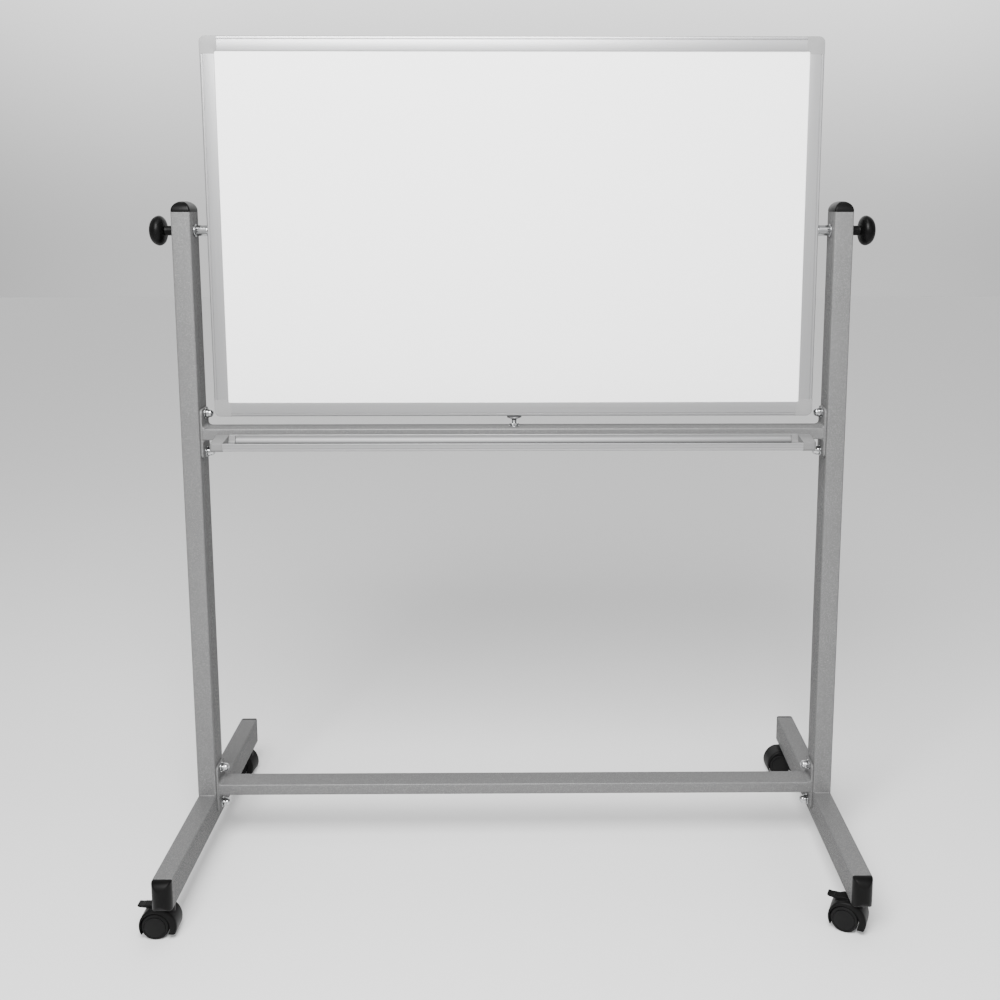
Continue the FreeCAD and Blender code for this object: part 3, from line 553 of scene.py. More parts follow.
def uneven_gloss(tree, shader, low, high, scale=9.0):
    amount = effect(tree, patches, "Amount", Scale=scale)
    tree.links.new(remapped(tree, amount, 0.0, 1.0, low, high), shader.inputs["Roughness"])
    return amount


# %% [markdown]
# ### Silver powder coat
# The stand's tubes are sprayed with a silver-grey powder that melts into a thin satin skin. It isn't a
# mirror: it is a half-metallic grey with tiny bright flakes in it and a faint orange-peel unevenness.

# %% Silver powder coat
def powder_coat():
    made, tree, shader = new_finish("silver_powder_coat", grey(0.13), 0.45, 0.35)
    shader.inputs["Specular IOR Level"].default_value = 0.06
    shader.inputs["Specular Tint"].default_value = (*grey(0.15), 1)
    sparkle = effect(tree, flecks, "Mask", Scale=1300.0, Amount=0.16)
    tone = mixed_colour(tree, effect(tree, patches, "Amount", Scale=5.0), grey(0.128), grey(0.134))
    tree.links.new(mixed_colour(tree, sparkle, tone, grey(0.21)), shader.inputs["Base Color"])
    uneven_gloss(tree, shader, 0.42, 0.48)
    bump(tree, shader, effect(tree, grain, "Height", Scale=900.0), 0.08, 0.0002)
    return made


silver_paint = powder_coat()
print(silver_paint.name)


# %% [markdown]
# ### Anodised aluminium
# The board's frame and the tray are drawn aluminium, etched and anodised: a pale satin metal whose only
# texture is fine lines along its length, left by the die. The tray's trough also has painted shade: a dark
# film in its colour, thickest at its bottom, that stands for the shade and dark reflections down in it.

# %% Anodised aluminium
def anodised(name, shade_heights=None):
    """Drawn aluminium; the second argument gives the heights in metres over which painted shade on upward
    faces fades out.
    """
    made, tree, shader = new_finish(name, (0.35, 0.35, 0.354), 0.34, 0.8)
    fine = effect(tree, lines, "Height", Along=2.0, Across=2600.0)
    tone = mixed_colour(tree, fine, (0.33, 0.33, 0.334), (0.375, 0.375, 0.379))
    if shade_heights:
        # painted shade: low upward faces of the trough go dark towards grey 0.04 and their gloss duller, as
        # if in shade
        painted_shade = effect(tree, painted_shade_group, "Mask", Low=shade_heights[0], High=shade_heights[1])
        tone = mixed_colour(tree, painted_shade, tone, grey(0.04))
        gloss = remapped(tree, painted_shade, 0.0, 1.0, 0.36, 0.6)
    else:
        gloss = remapped(tree, fine, 0.3, 0.7, 0.31, 0.41)
    tree.links.new(gloss, shader.inputs["Roughness"])
    tree.links.new(tone, shader.inputs["Base Color"])
    bump(tree, shader, fine, 0.12, 0.0001)
    return made


aluminium = anodised("anodised_aluminium")
print(aluminium.name)


# %% [markdown]
# ### Plastics
# The moulded plastics are the greys of the board's corners and the tray's ends, and the black of the knobs,
# plugs and casters. All carry the fine eroded grain of their moulds, and the black ones are worn a little
# smoother in patches. Black takes almost no colour of its own and little shine: a matt black that gleams
# looks grey in an even studio.

# %% Plastics
def moulded(name, colour, lighter, low, high, grain_scale, grain_strength, shine=0.5):
    """Colour and gloss drift together in patches, over a fine even grain."""
    made, tree, shader = new_finish(name, colour, low)
    shader.inputs["Specular IOR Level"].default_value = shine
    amount = uneven_gloss(tree, shader, low, high, 14.0)
    tree.links.new(mixed_colour(tree, amount, colour, lighter), shader.inputs["Base Color"])
    bump(tree, shader, effect(tree, grain, "Height", Scale=grain_scale), grain_strength, 0.0002)
    return made


grey_plastic = moulded("grey_plastic", grey(0.19), grey(0.21), 0.42, 0.52, 1100.0, 0.15)
tray_plastic = moulded("tray_cap_plastic", grey(0.12), grey(0.14), 0.42, 0.52, 1100.0, 0.15)
black_plastic = moulded("black_plastic", grey(0.002), grey(0.003), 0.34, 0.46, 1200.0, 0.15, 0.08)
hood_nylon = moulded("hood_nylon", grey(0.003), grey(0.005), 0.38, 0.50, 1000.0, 0.15, 0.08)
wheel_tread = moulded("wheel_tread", grey(0.005), grey(0.008), 0.55, 0.70, 800.0, 0.2, 0.08)
wheel_cover = moulded("wheel_cover", grey(0.005), grey(0.007), 0.36, 0.46, 1300.0, 0.12, 0.09)
pad_rubber = moulded("pad_rubber", grey(0.055), grey(0.07), 0.65, 0.80, 900.0, 0.30, 0.2)
print("plastics", sum(m.users == 0 for m in bpy.data.materials), "finishes ready")


# %% [markdown]
# ### Fasteners and the writing surface
# Zinc plate is a bright, slightly cloudy metal with faint tool lines. The writing sheets are enamelled
# steel: white under a clear gloss, with the very slight waviness of thin sheet and soft wiping haze.

# %% Bright metals
def plated(name, colour, low, high):
    made, tree, shader = new_finish(name, colour, low, 1.0)
    uneven_gloss(tree, shader, low, high, 60.0)
    bump(tree, shader, effect(tree, grain, "Height", Scale=500.0), 0.03, 0.0001)
    return made


zinc = plated("zinc_plate", (0.46, 0.465, 0.47), 0.14, 0.24)
brass = plated("brass", (0.78, 0.60, 0.28), 0.22, 0.34)
print(zinc.name, brass.name)


# %% White enamel and the board's core
def enamel():
    made, tree, shader = new_finish("white_enamel", grey(0.93), 0.14)
    shader.inputs["Coat Weight"].default_value = 0.3
    shader.inputs["Coat Roughness"].default_value = 0.08
    wiped = object_place(tree)
    wide = add(tree, "ShaderNodeMapping")
    wide.inputs["Scale"].default_value = (1.5, 1.0, 9.0)
    tree.links.new(wiped, wide.inputs["Vector"])
    haze = noise(tree, wide.outputs["Vector"], 2.2, 5.0, 0.6)
    tree.links.new(remapped(tree, haze, 0.35, 0.7, 0.12, 0.22), shader.inputs["Roughness"])
    smear = remapped(tree, haze, 0.55, 0.8, 0.0, 1.0)
    tree.links.new(mixed_colour(tree, smear, grey(0.93), (0.915, 0.917, 0.92)), shader.inputs["Base Color"])
    bump(tree, shader, noise(tree, wiped, 7.0, 1.0), 0.03, 0.001)
    return made


white_enamel = enamel()
fibreboard = moulded("fibreboard", (0.30, 0.20, 0.12), (0.36, 0.25, 0.15), 0.8, 0.9, 400.0, 0.4)
print(white_enamel.name, fibreboard.name)


# %% [markdown]
# ## The stand's tubes
# Posts and feet are the same rectangular steel tube, the crossbars a flatter one. A drawn tube is one
# rounded rectangle carried along its length, with a bore of the wall's thickness inside it, so each is a
# ring of outlines: out along the skin, over the rim, and back through the bore.

# %% Posts, feet and crossbars
def painted_piece(name, shells, *stands_for):
    return piece(name, shells, silver_paint, "stand", "powder_coated_steel", *stands_for)


tube_corner = 3.5 * mm
tube_wall = 1.5 * mm
bar_corner = 3.0 * mm
foot_middle = (foot_low + foot_high) / 2
post_length = post_high[2] - post_low[2]
foot_length = foot_high[1] - foot_low[1]

right_post = hollow_tube(tube_width, tube_depth, tube_wall, tube_corner, post_length,
                         X, Y, Z, (post_x, 0, post_low[2]))
right_foot = hollow_tube(tube_width, tube_depth, tube_wall, tube_corner, foot_length,
                         X, Z, Y, (post_x, foot_low[1], foot_middle[2]))
for side, post, foot in zip(("right", "left"), both_sides(right_post), both_sides(right_foot)):
    painted_piece(side + "_post_tube", [post], side + "_post")
    painted_piece(side + "_foot_tube", [foot], side + "_foot")


def bar_tube(low, high):
    size = high - low
    return hollow_tube(size[1], size[2], tube_wall, bar_corner, size[0], Y, Z, X,
                       (low[0], (low[1] + high[1]) / 2, (low[2] + high[2]) / 2))


painted_piece("upper_crossbar_tube", [bar_tube(bar_low, bar_high)], "upper_crossbar")
painted_piece("lower_crossbar_tube", [bar_tube(low_bar_low, low_bar_high)], "lower_crossbar")


# %% [markdown]
# The post stands on the foot and is welded to it. The weld is dressed and painted over, so all that shows is
# a soft hollow fillet along the front and the back of the joint: a quarter-circle hollow carried across the
# tube, fading out at its two ends.

# %% Weld fillets
def fillet_strip(corner, out, up, along, length, leg, edge, steps=8):
    """Concave fillet in a right-angled corner. The face is the hollow quarter circle of radius leg about the
    point (leg, leg) from the corner; within edge of its ends it drops into the corner on quarter circles."""
    turn = np.linspace(0, np.pi / 2, steps)
    hollow = leg * np.stack([1 - np.sin(turn), 1 - np.cos(turn)], 1)
    inset, depth = drawn_in(length, edge)
    buried = np.array([(-0.3, 0), (-0.3, -0.3), (0, -0.3)]) * mm
    outlines = [np.vstack([hollow * share, buried]) for share in 1 - inset / max(leg, edge)]
    return shell(stacked(outlines, depth, out, up, along, corner))


post_weld_leg = 2.2 * mm
weld_run = tube_width - 2 * tube_corner
post_welds = [fillet_strip((post_x - weld_run / 2, front * tube_depth / 2, foot_high[2]), front * Y, Z, X,
                           weld_run, post_weld_leg, 2 * mm) for front in (-1, 1)]
painted_piece("post_foot_welds", both_sides(*post_welds))

# %% [markdown]
# ## Domed plugs
# A plastic plug closes each open tube end. Its dome is a hipped barrel vault: at every height the section is
# a rectangle whose half width is the vault's radius times the cosine of the climb, and whose half length
# shrinks by the same amount. The four facets meet in softly rounded hips, and a fine step under the dome's
# rim separates it from the tube.

# %% Domed plugs
plug_rim = 2.0 * mm
plug_seam = 0.35 * mm


def dome_plug(origin, right, up, along):
    """Outlines stacked along the tube's axis: rim with a fine seam under it, then the vault's climb."""
    climb = np.linspace(0, np.radians(86), 22)
    radius = tube_width / 2
    rim = [(plug_seam, 0), (plug_seam, 0.5 * mm), (0, 0.9 * mm), (0, plug_rim)]
    outlines = [rounded_rectangle(tube_width - 2 * i, tube_depth - 2 * i, tube_corner - i) for i, _ in rim]
    depths = [d for _, d in rim]
    for a in climb[1:]:
        inset = radius * (1 - math.cos(a))
        half = radius - inset
        hip = min(tube_corner * (0.35 + 0.65 * math.cos(a)), 0.95 * half)
        outlines.append(rounded_rectangle(tube_width - 2 * inset, tube_depth - 2 * inset, hip))
        depths.append(plug_rim + radius * math.sin(a))
    return shell(stacked(outlines, depths, right, up, along, origin))


top_plug = dome_plug((post_x, 0, post_high[2]), X, Y, Z)
front_plug = dome_plug((post_x, foot_low[1], foot_middle[2]), X, Z, -Y)
rear_plug = dome_plug((post_x, foot_high[1], foot_middle[2]), X, Z, Y)
piece("post_top_plugs", both_sides(top_plug), black_plastic, "stand", "black_plastic", "post_caps")
piece("foot_end_plugs", both_sides(front_plug, rear_plug), black_plastic, "stand", "black_plastic",
      "foot_end_caps")

# %% [markdown]
# ## End plates of the crossbars
# Each crossbar ends in a steel plate with rounded corners, and a bold weld fillet sweeps from the tube's top
# and underside up the plate, as deep as the tube, so the bright line along the tube's front edge curls
# round into the plate. Plate and fillets are sprayed together with the tube.

# %% End plates
plate_corner = 9.0 * mm
plate_edge = 0.8 * mm
plate_weld_leg = 8.0 * mm


def end_plates(node, bar_low, bar_high):
    """Right-hand plate from the box of the pair, with fillets over and under the tube, and its mirror."""
    low, high = corners(node)
    thickness = high[0] - bar_high[0]
    middle = (low + high) / 2
    plate = soft_bar(high[1] - low[1], high[2] - low[2], plate_corner, thickness, plate_edge, Y, Z, X,
                     (bar_high[0], middle[1], middle[2]))
    front = bar_low[1]
    depth = bar_high[1] - bar_low[1]
    over = fillet_strip((bar_high[0], front, bar_high[2]), -X, Z, Y, depth, plate_weld_leg, bar_corner)
    under = fillet_strip((bar_high[0], front, bar_low[2]), -X, -Z, Y, depth, plate_weld_leg, bar_corner)
    return both_sides(plate, over, under)


painted_piece("upper_end_plates", end_plates("upper_flanges", bar_low, bar_high), "upper_flanges")
painted_piece("lower_end_plates", end_plates("lower_flanges", low_bar_low, low_bar_high), "lower_flanges")

# %% [markdown]
# ## Bolts, washers and cap nuts
# The plates are held by carriage bolts through the post: a low round head outside, a washer and a domed cap
# nut inside. A nut's hexagon is a radius that depends on the turn, cut back by the cone that a lathe turns
# on its corners, so it is one grid: at each height the radius is the smaller of the two.

# %% Fastener surfaces
def zinc_piece(name, shells, body, *stands_for):
    return piece(name, shells, zinc, body, "zinc_plated_steel", *stands_for)


bolt_heads = corners("frame_bolts")
plate_face = bar_high[0]
washer_thickness = 1.6 * mm
washer_radius, washer_bore = 10.5 * mm, 5.2 * mm
bolt_pitch = 80 * mm
nut_flats = 17 * mm
nut_hex_height = 8 * mm
nut_crown_radius = 8.1 * mm
nut_height = 16 * mm
head_radius = 11 * mm
hex_softening = 0.25 * mm
head_height = bolt_heads[1][0] - post_high[0]
bolt_heights = [(low[2] + high[2]) / 2 + s * bolt_pitch / 2
                for low, high in ((bar_low, bar_high), (low_bar_low, low_bar_high)) for s in (1, -1)]


def hex_radius(flats, turn):
    """Distance to the nearest flat: half the width over flats / cos(turn away from that flat's middle)."""
    return flats / 2 / np.cos((turn + np.pi / 6) % (np.pi / 3) - np.pi / 6)


def hex_shell(profile, flats, origin, axis, ring=False, end="face"):
    """Like turned(), but no point lies outside the hexagon; its corners are softened a little."""
    def limit(turn):
        reach = hex_radius(flats, turn)
        return np.minimum(reach, reach.max() - hex_softening)

    return turned(profile, origin, axis, 60, ring, end=end, limit=limit)


def ring_washer(outer, bore, thickness, origin, axis):
    """Flat ring with rounded rims: a closed outline turned about the axis."""
    e = 0.3 * mm
    outline = softened([(0, bore), (thickness, bore), (thickness, outer), (0, outer)], e, 4)
    return turned(outline, origin, axis, 48, ring=True)


def ball_cap(radius, rise, top, shares):
    """Profile of a ball's cap, from its rim (share 0) to its pole (share 1), which is at height top."""
    ball = (radius ** 2 + rise ** 2) / (2 * rise)
    turn = math.asin(min(radius / ball, 1)) * (1 - shares)
    return list(zip(top - ball * (1 - np.cos(turn)), ball * np.sin(turn)))


def cap_nut(origin, axis):
    """Chamfered hexagon, a waist, then a dome of the crown's radius closed by a pole."""
    corner = nut_flats / math.sqrt(3)
    crown_start = nut_height - 5 * mm
    dome = ball_cap(nut_crown_radius, nut_height - crown_start, nut_height, np.linspace(0.04, 1, 12)[1:-1])
    profile = [(0, corner - 1.2 * mm), (1.0 * mm, corner), (nut_hex_height - 1.4 * mm, corner),
               (nut_hex_height, nut_crown_radius + 0.25 * mm), (nut_hex_height + 0.3 * mm, nut_crown_radius),
               (crown_start, nut_crown_radius)] + dome
    return hex_shell(profile, nut_flats, origin, axis, end=origin + nut_height * axis)


def bolt_head(origin, axis):
    """Low dome: a small upright rim, then the arc of the ball through rim and crown."""
    rim = 0.7 * mm
    dome = ball_cap(head_radius, head_height - rim, head_height, np.linspace(0, 1, 12)[:-1])
    profile = [(0, head_radius - 0.2 * mm), (0.2 * mm, head_radius)] + dome
    return turned(profile, origin, axis, 40, end=origin + head_height * axis)


nuts, washers, heads = [], [], []
for z in bolt_heights:
    washers.append(ring_washer(washer_radius, washer_bore, washer_thickness, (plate_face, 0, z), -X))
    nuts.append(cap_nut(np.array([plate_face - washer_thickness, 0, z]), -X))
    heads.append(bolt_head(np.array([post_high[0], 0, z]), X))
zinc_piece("frame_cap_nut_set", both_sides(*nuts), "stand", "frame_cap_nuts")
zinc_piece("frame_washer_set", both_sides(*washers), "stand", "frame_washers")
zinc_piece("frame_bolt_heads", both_sides(*heads), "stand", "frame_bolts")


# %% [markdown]
# ## The board's frame
# Four lengths of one drawn aluminium section. Its visible face is flat with a softly rounded outer edge and a
# fine groove near it, and behind the face the lips close over the panel, so the outline is a C with small
# notches, carried straight along each side between the plastic corners.

# %% Frame rails
thick = (board_high[1] - board_low[1]) / 2
rail_face = 28.5 * mm
rail_lip = 1.7 * mm
rail_web = 15.5 * mm
corner_leg = 34 * mm
groove_at, groove_half, groove_depth = 6.2 * mm, 0.9 * mm, 1.2 * mm


def rail_outline():
    """Softened C in (distance inwards from the outer edge, distance through the board)."""
    notch = [(groove_at + side * groove_half, thick - depth, 0.05)
             for side, depth in ((-1, 0), (-0.5, groove_depth), (0.5, groove_depth), (1, 0))]
    front = [(0, thick, 2.6)] + notch + [(rail_face, thick, 0.5), (rail_face, thick - rail_lip, 0.4),
                                         (rail_web, thick - rail_lip, 0.3)]
    back = [(u, -v, r) for u, v, r in front[::-1]]
    table = np.array(front + back)
    return softened(table[:, :2], table[:, 2] * mm)


def rail(outer_corner, inwards, along, length):
    """One straight rail; outer_corner is the middle of its outer edge where it starts."""
    return shell(stacked(rail_outline(), [0, length / 2, length], inwards, Y, along, outer_corner))


board_size = board_high - board_low
level_start, level_length = board_low[0] + corner_leg, board_size[0] - 2 * corner_leg
upright_start, upright_length = board_low[2] + corner_leg, board_size[2] - 2 * corner_leg
rails = {
    "bottom_rail": rail((level_start, 0, board_low[2]), Z, X, level_length),
    "top_rail": rail((level_start, 0, board_high[2]), -Z, X, level_length),
    "left_rail": rail((board_low[0], 0, upright_start), X, Z, upright_length),
    "right_rail": rail((board_high[0], 0, upright_start), -X, Z, upright_length)}
for name, one in rails.items():
    piece(name + "_section", [one], aluminium, "board", "anodised_aluminium", name)

# %% [markdown]
# ## Plastic corners
# The corners are moulded caps pushed over the rails' ends, standing a quarter of a millimetre proud, with a
# rounded outer corner and softened edges. Outer edge and inner edge are two matched curves round the L, and
# every section spans between them, so the piece stays even through the bend.

# %% Board corners
proud = 0.25 * mm
bend_radius, inner_radius = 12 * mm, 3 * mm
moulded_edge = 1.2 * mm


def bend_path(straight_from, level, radius, centre, steps=12):
    """From (straight_from, level) along the first leg, round a quarter turn, and up the second leg."""
    leg = np.linspace(straight_from, centre, 5)[:-1]
    turn = np.linspace(0, np.pi / 2, steps)
    round_part = centre - (centre - level) * np.stack([np.sin(turn), np.cos(turn)], 1)
    first = np.stack([leg, np.full(4, level)], 1)
    return np.vstack([first, round_part, first[::-1, ::-1]])


def board_corner(corner, inwards_x, inwards_z):
    outer = bend_path(corner_leg, -proud, bend_radius, bend_radius - proud)
    inner = bend_path(corner_leg, rail_face, inner_radius, rail_face + inner_radius)
    across = inner - outer
    across /= np.linalg.norm(across, axis=1, keepdims=True)
    half = thick + proud
    front = [(0, 0, half, moulded_edge), (1, 0, half, moulded_edge), (1, 0, thick - rail_lip, 0.4 * mm),
             (0, rail_web, thick - rail_lip, 0.3 * mm)]
    table = np.array(front + [(w, u, -v, r) for w, u, v, r in front[::-1]])
    span = np.linalg.norm(inner - outer, axis=1)
    rows = []
    for ease, k in [(0.3 * mm, 0)] + [(0, k) for k in range(len(outer))] + [(0.3 * mm, len(outer) - 1)]:
        u = table[:, 0] * span[k] + table[:, 1]
        flat = softened(np.stack([u, table[:, 2]], 1), table[:, 3])
        flat[:, 0] = np.clip(flat[:, 0], ease, span[k] - ease)
        flat[:, 1] = np.clip(flat[:, 1], -half + ease, half - ease)
        place = outer[k] + flat[:, :1] * across[k]
        rows.append(np.stack([place[:, 0], flat[:, 1], place[:, 1]], 1))
    rows = np.array(rows)
    rows[1, :, 0] -= 0.3 * mm
    rows[-2, :, 2] -= 0.3 * mm
    turned_over = rows[..., :1] * inwards_x + rows[..., 1:2] * Y + rows[..., 2:] * inwards_z
    return shell(np.asarray(corner) + turned_over)


board_corners = [board_corner((x, 0, z), to_x, to_z)
                 for x, to_x in ((board_low[0], X), (board_high[0], -X))
                 for z, to_z in ((board_low[2], Z), (board_high[2], -Z))]
piece("board_corner_set", board_corners, grey_plastic, "board", "grey_plastic", "board_corners")

# %% [markdown]
# ## Pivots and clamp knobs
# A stud leaves each side rail through a washer, a long hexagonal spacer and a wide washer, passes through the
# post, and carries the clamp knob outside. The knob is a mushroom: a straight neck that flares into a broad
# head with a rounded crown, turned about the stud's axis, with the thread's bore open towards the post.

# %% Pivot spacers and washers
spacer_box = corners("pivot_spacers")
knob_low, knob_high = corners("right_knob")
spacer_flats = 19 * mm
spacer_bore = 6.25 * mm
rail_washer, post_washer = (10 * mm, 1.6 * mm), (12.5 * mm, 2.5 * mm)
spacer_start = board_high[0] + rail_washer[1]
spacer_length = spacer_box[1][0] - spacer_start
pivot_at = np.array([0, 0, pivot_z])


def chamfered_spacer():
    corner = spacer_flats / math.sqrt(3)
    end, step = corner - 1.6 * mm, 0.9 * mm
    outline = [(0, spacer_bore), (0, end), (step, corner), (spacer_length - step, corner),
               (spacer_length, end), (spacer_length, spacer_bore)]
    return hex_shell(outline, spacer_flats, pivot_at + spacer_start * X, X, ring=True)


near_washer = ring_washer(rail_washer[0], spacer_bore, rail_washer[1], pivot_at + board_high[0] * X, X)
far_washer = ring_washer(post_washer[0], spacer_bore, post_washer[1],
                         pivot_at + (spacer_start + spacer_length) * X, X)
spacer = chamfered_spacer()
zinc_piece("pivot_spacer_pair", both_sides(spacer), "board", "pivot_spacers")
zinc_piece("pivot_washer_set", both_sides(near_washer, far_washer), "board", "pivot_washers")

# %% Clamp knobs
knob_radius = (knob_high[2] - knob_low[2]) / 2
knob_length = knob_high[0] - knob_low[0]
knob_neck, knob_neck_length, knob_rim = 9.8 * mm, 19 * mm, 31.9 * mm
knob_bore, knob_bore_depth = 8.1 * mm, 27 * mm


def knob_profile():
    """Neck, flare and crown. The crown's points are (rim + rise sin(a)^1.25, radius cos(a)^0.62), which is
    blunter than an ellipse; the flare under the head is a smooth quarter curve from neck to rim."""
    flare = np.linspace(0, np.pi / 2, 14)
    out = knob_neck_length + (knob_rim - knob_neck_length) * (1 - np.cos(flare))
    wide = knob_neck + 0.6 * mm + (knob_radius - knob_neck - 0.6 * mm) * np.sin(flare) ** 0.85
    under = list(zip(out, wide))
    a = np.linspace(0, np.pi / 2, 26)[1:-1]
    rise = knob_length - knob_rim
    crown = list(zip(knob_rim + rise * np.sin(a) ** 1.25, knob_radius * np.cos(a) ** 0.62))
    bore = [(knob_bore_depth, knob_bore), (0, knob_bore)]
    neck = [(0, knob_neck - 0.5 * mm), (0.5 * mm, knob_neck), (knob_neck_length - 3 * mm, knob_neck),
            (knob_neck_length - 1.0 * mm, knob_neck + 0.2 * mm)]
    return bore + neck + under + crown


knob_start = pivot_at + knob_low[0] * X
right_knob = turned(knob_profile(), knob_start, X, 72, start=knob_start + knob_bore_depth * X,
                    end=knob_start + knob_length * X)
for side, knob in zip(("right", "left"), both_sides(right_knob)):
    piece(side + "_knob_body", [knob], black_plastic, side + "_clamp_knob", "black_plastic", side + "_knob")

# %% [markdown]
# ## Marker tray
# The tray is one aluminium section screwed under the crossbar: its back hugs the tube and sweeps down in a
# large radius to a flat floor, then a small radius turns up into the lip. Two fine lines run along the lip's
# face. The section is a closed thin outline carried along the tray.

# %% Marker tray
tray_box = corners("marker_tray")
cap_box = corners("tray_end_caps")
tray_half = tray_box[1][0]
tray_wall, lip_wall = 1.6 * mm, 1.9 * mm
tray_front, tray_low, tray_top = tray_box[0][1], tray_box[0][2], tray_box[1][2]
bar_face, bar_under = bar_low[1], bar_low[2]
lip_top = tray_low + 16.2 * mm
back_radius, lip_radius = 18 * mm, 4 * mm


def lip_line(z):
    return [(tray_front, z + 0.3 * mm, 0.04), (tray_front + 0.3 * mm, z + 0.12 * mm, 0.04),
            (tray_front + 0.3 * mm, z - 0.12 * mm, 0.04), (tray_front, z - 0.3 * mm, 0.04)]


section = [(bar_face, tray_top, 0.5), (bar_face - tray_wall, tray_top, 0.5),
           (bar_face - tray_wall, tray_low + tray_wall, back_radius / mm),
           (tray_front + lip_wall, tray_low + tray_wall, lip_radius / mm),
           (tray_front + lip_wall, lip_top, 0.6), (tray_front, lip_top, 0.8)]
section += lip_line(lip_top - 3.4 * mm) + lip_line(tray_low + 6.6 * mm)
section += [(tray_front, tray_low, (lip_radius + tray_wall) / mm),
            (bar_face, tray_low, (back_radius + tray_wall) / mm)]
section = np.array(section)
tray_outline = softened(section[:, :2], section[:, 2] * mm, 12)
trough = shell(stacked(tray_outline, [0, tray_half, 2 * tray_half], Y, Z, X, (-tray_half, 0, 0)))
tongue = soft_bar(-bar_face, tray_wall, 0.3 * mm, 2 * tray_half, 0.3 * mm, Y, Z, X,
                  (-tray_half, bar_face / 2, bar_under - tray_wall / 2))
# The tray's finish carries painted shade on its trough's upward faces, fading out from 7 to 22 mm above its
# bottom.
tray_aluminium = anodised("tray_aluminium", (tray_low + 7 * mm, tray_low + 22 * mm))
piece("marker_tray_section", [trough, tongue], tray_aluminium, "stand", "anodised_aluminium", "marker_tray")

# %% [markdown]
# Each end of the tray is closed by a moulded cap. Its top slants from the crossbar down to the lip, its
# front outer corner is rounded in plan, and a thin tongue with a scooped-out top lines the trough's end.

# %% Tray end caps
cap_length = cap_box[1][0] - tray_half
cap_front, cap_low = cap_box[0][1], cap_box[0][2]
cap_lip = lip_top + 0.8 * mm
plan_radius = 7 * mm
end_edge = 1.4 * mm
slope = (tray_top - cap_lip) / (bar_face - cap_front)


def cap_section(front_inset, ease):
    """Closed section of the cap: slanting top, upright front, and the trough's two rounded bottom corners."""
    front = cap_front + max(front_inset, ease)
    back, low = bar_face, cap_low + ease
    top_front = tray_top - slope * (back - front) - ease
    radii = np.array([0.6, 1.6, max(6.4 - (max(front_inset, ease) / mm) * 0.5, 1.5), 19.0]) * mm
    return softened([(back, tray_top - ease), (front, top_front), (front, low), (back, low)], radii, 10)


sweep = np.linspace(0, np.pi / 2, 12)
cap_depths = np.concatenate([[0, 0.4 * mm, 6 * mm], cap_length - plan_radius + plan_radius * np.sin(sweep)])
front_insets = np.concatenate([[0, 0, 0], plan_radius * (1 - np.cos(sweep))])
near_end = np.clip((cap_depths - (cap_length - end_edge)) / end_edge, 0, 1)
eases = end_edge * (1 - np.sqrt(1 - near_end ** 2))
eases[0] = 0.35 * mm
cap_body = shell(stacked([cap_section(i, e) for i, e in zip(front_insets, eases)], cap_depths, Y, Z, X,
                         (tray_half, 0, 0)))

scoop_floor = tray_low + tray_wall + 6.4 * mm
lining_gap = 0.15 * mm
lining_back = bar_face - tray_wall - lining_gap
lining_front = tray_front + lip_wall + lining_gap
lining_low = tray_low + tray_wall + lining_gap
lining = np.array([(lining_back, tray_top - 2.2 * mm, 0.5), (lining_back, lining_low, 18),
                   (lining_front, lining_low, 4), (lining_front, lip_top - 0.6 * mm, 0.5),
                   (lining_front + 5 * mm, lip_top - 0.2 * mm, 0.8), (lining_front + 5 * mm, scoop_floor, 5),
                   (lining_back - 7 * mm, scoop_floor, 7), (lining_back - 4 * mm, tray_top - 2.6 * mm, 0.8)])
tongue_outline = softened(lining[:, :2], lining[:, 2] * mm, 10)
tongue_length = 13 * mm
tongue_shell = shell(stacked(tongue_outline, [0, tongue_length + 0.2 * mm], Y, Z, X,
                             (tray_half - tongue_length, 0, 0)))
piece("tray_end_cap_pair", both_sides(cap_body, tongue_shell), tray_plastic, "stand", "grey_plastic",
      "tray_end_caps")

# %% [markdown]
# ## The board's stop
# A screw with a broad flat head stands on the crossbar under the board, locked by a nut, with a thin rubber
# disc on top. Its thread is a helix: the radius follows a triangle wave of the height less the turn's share
# of the pitch, so a turn of the screw really does lift the crests by one pitch.

# %% Stop screw, cushion and lock nut
screw_low, screw_high = corners("stop_screw")
pad_low, pad_high = corners("stop_pad")
lock_low, lock_high = corners("stop_lock_nut")
screw_radius, thread_pitch, thread_depth = 5 * mm, 1.5 * mm, 0.5 * mm
stop_radius = (screw_high[0] - screw_low[0]) / 2
head_rim, head_cone = 2.2 * mm, 3.4 * mm


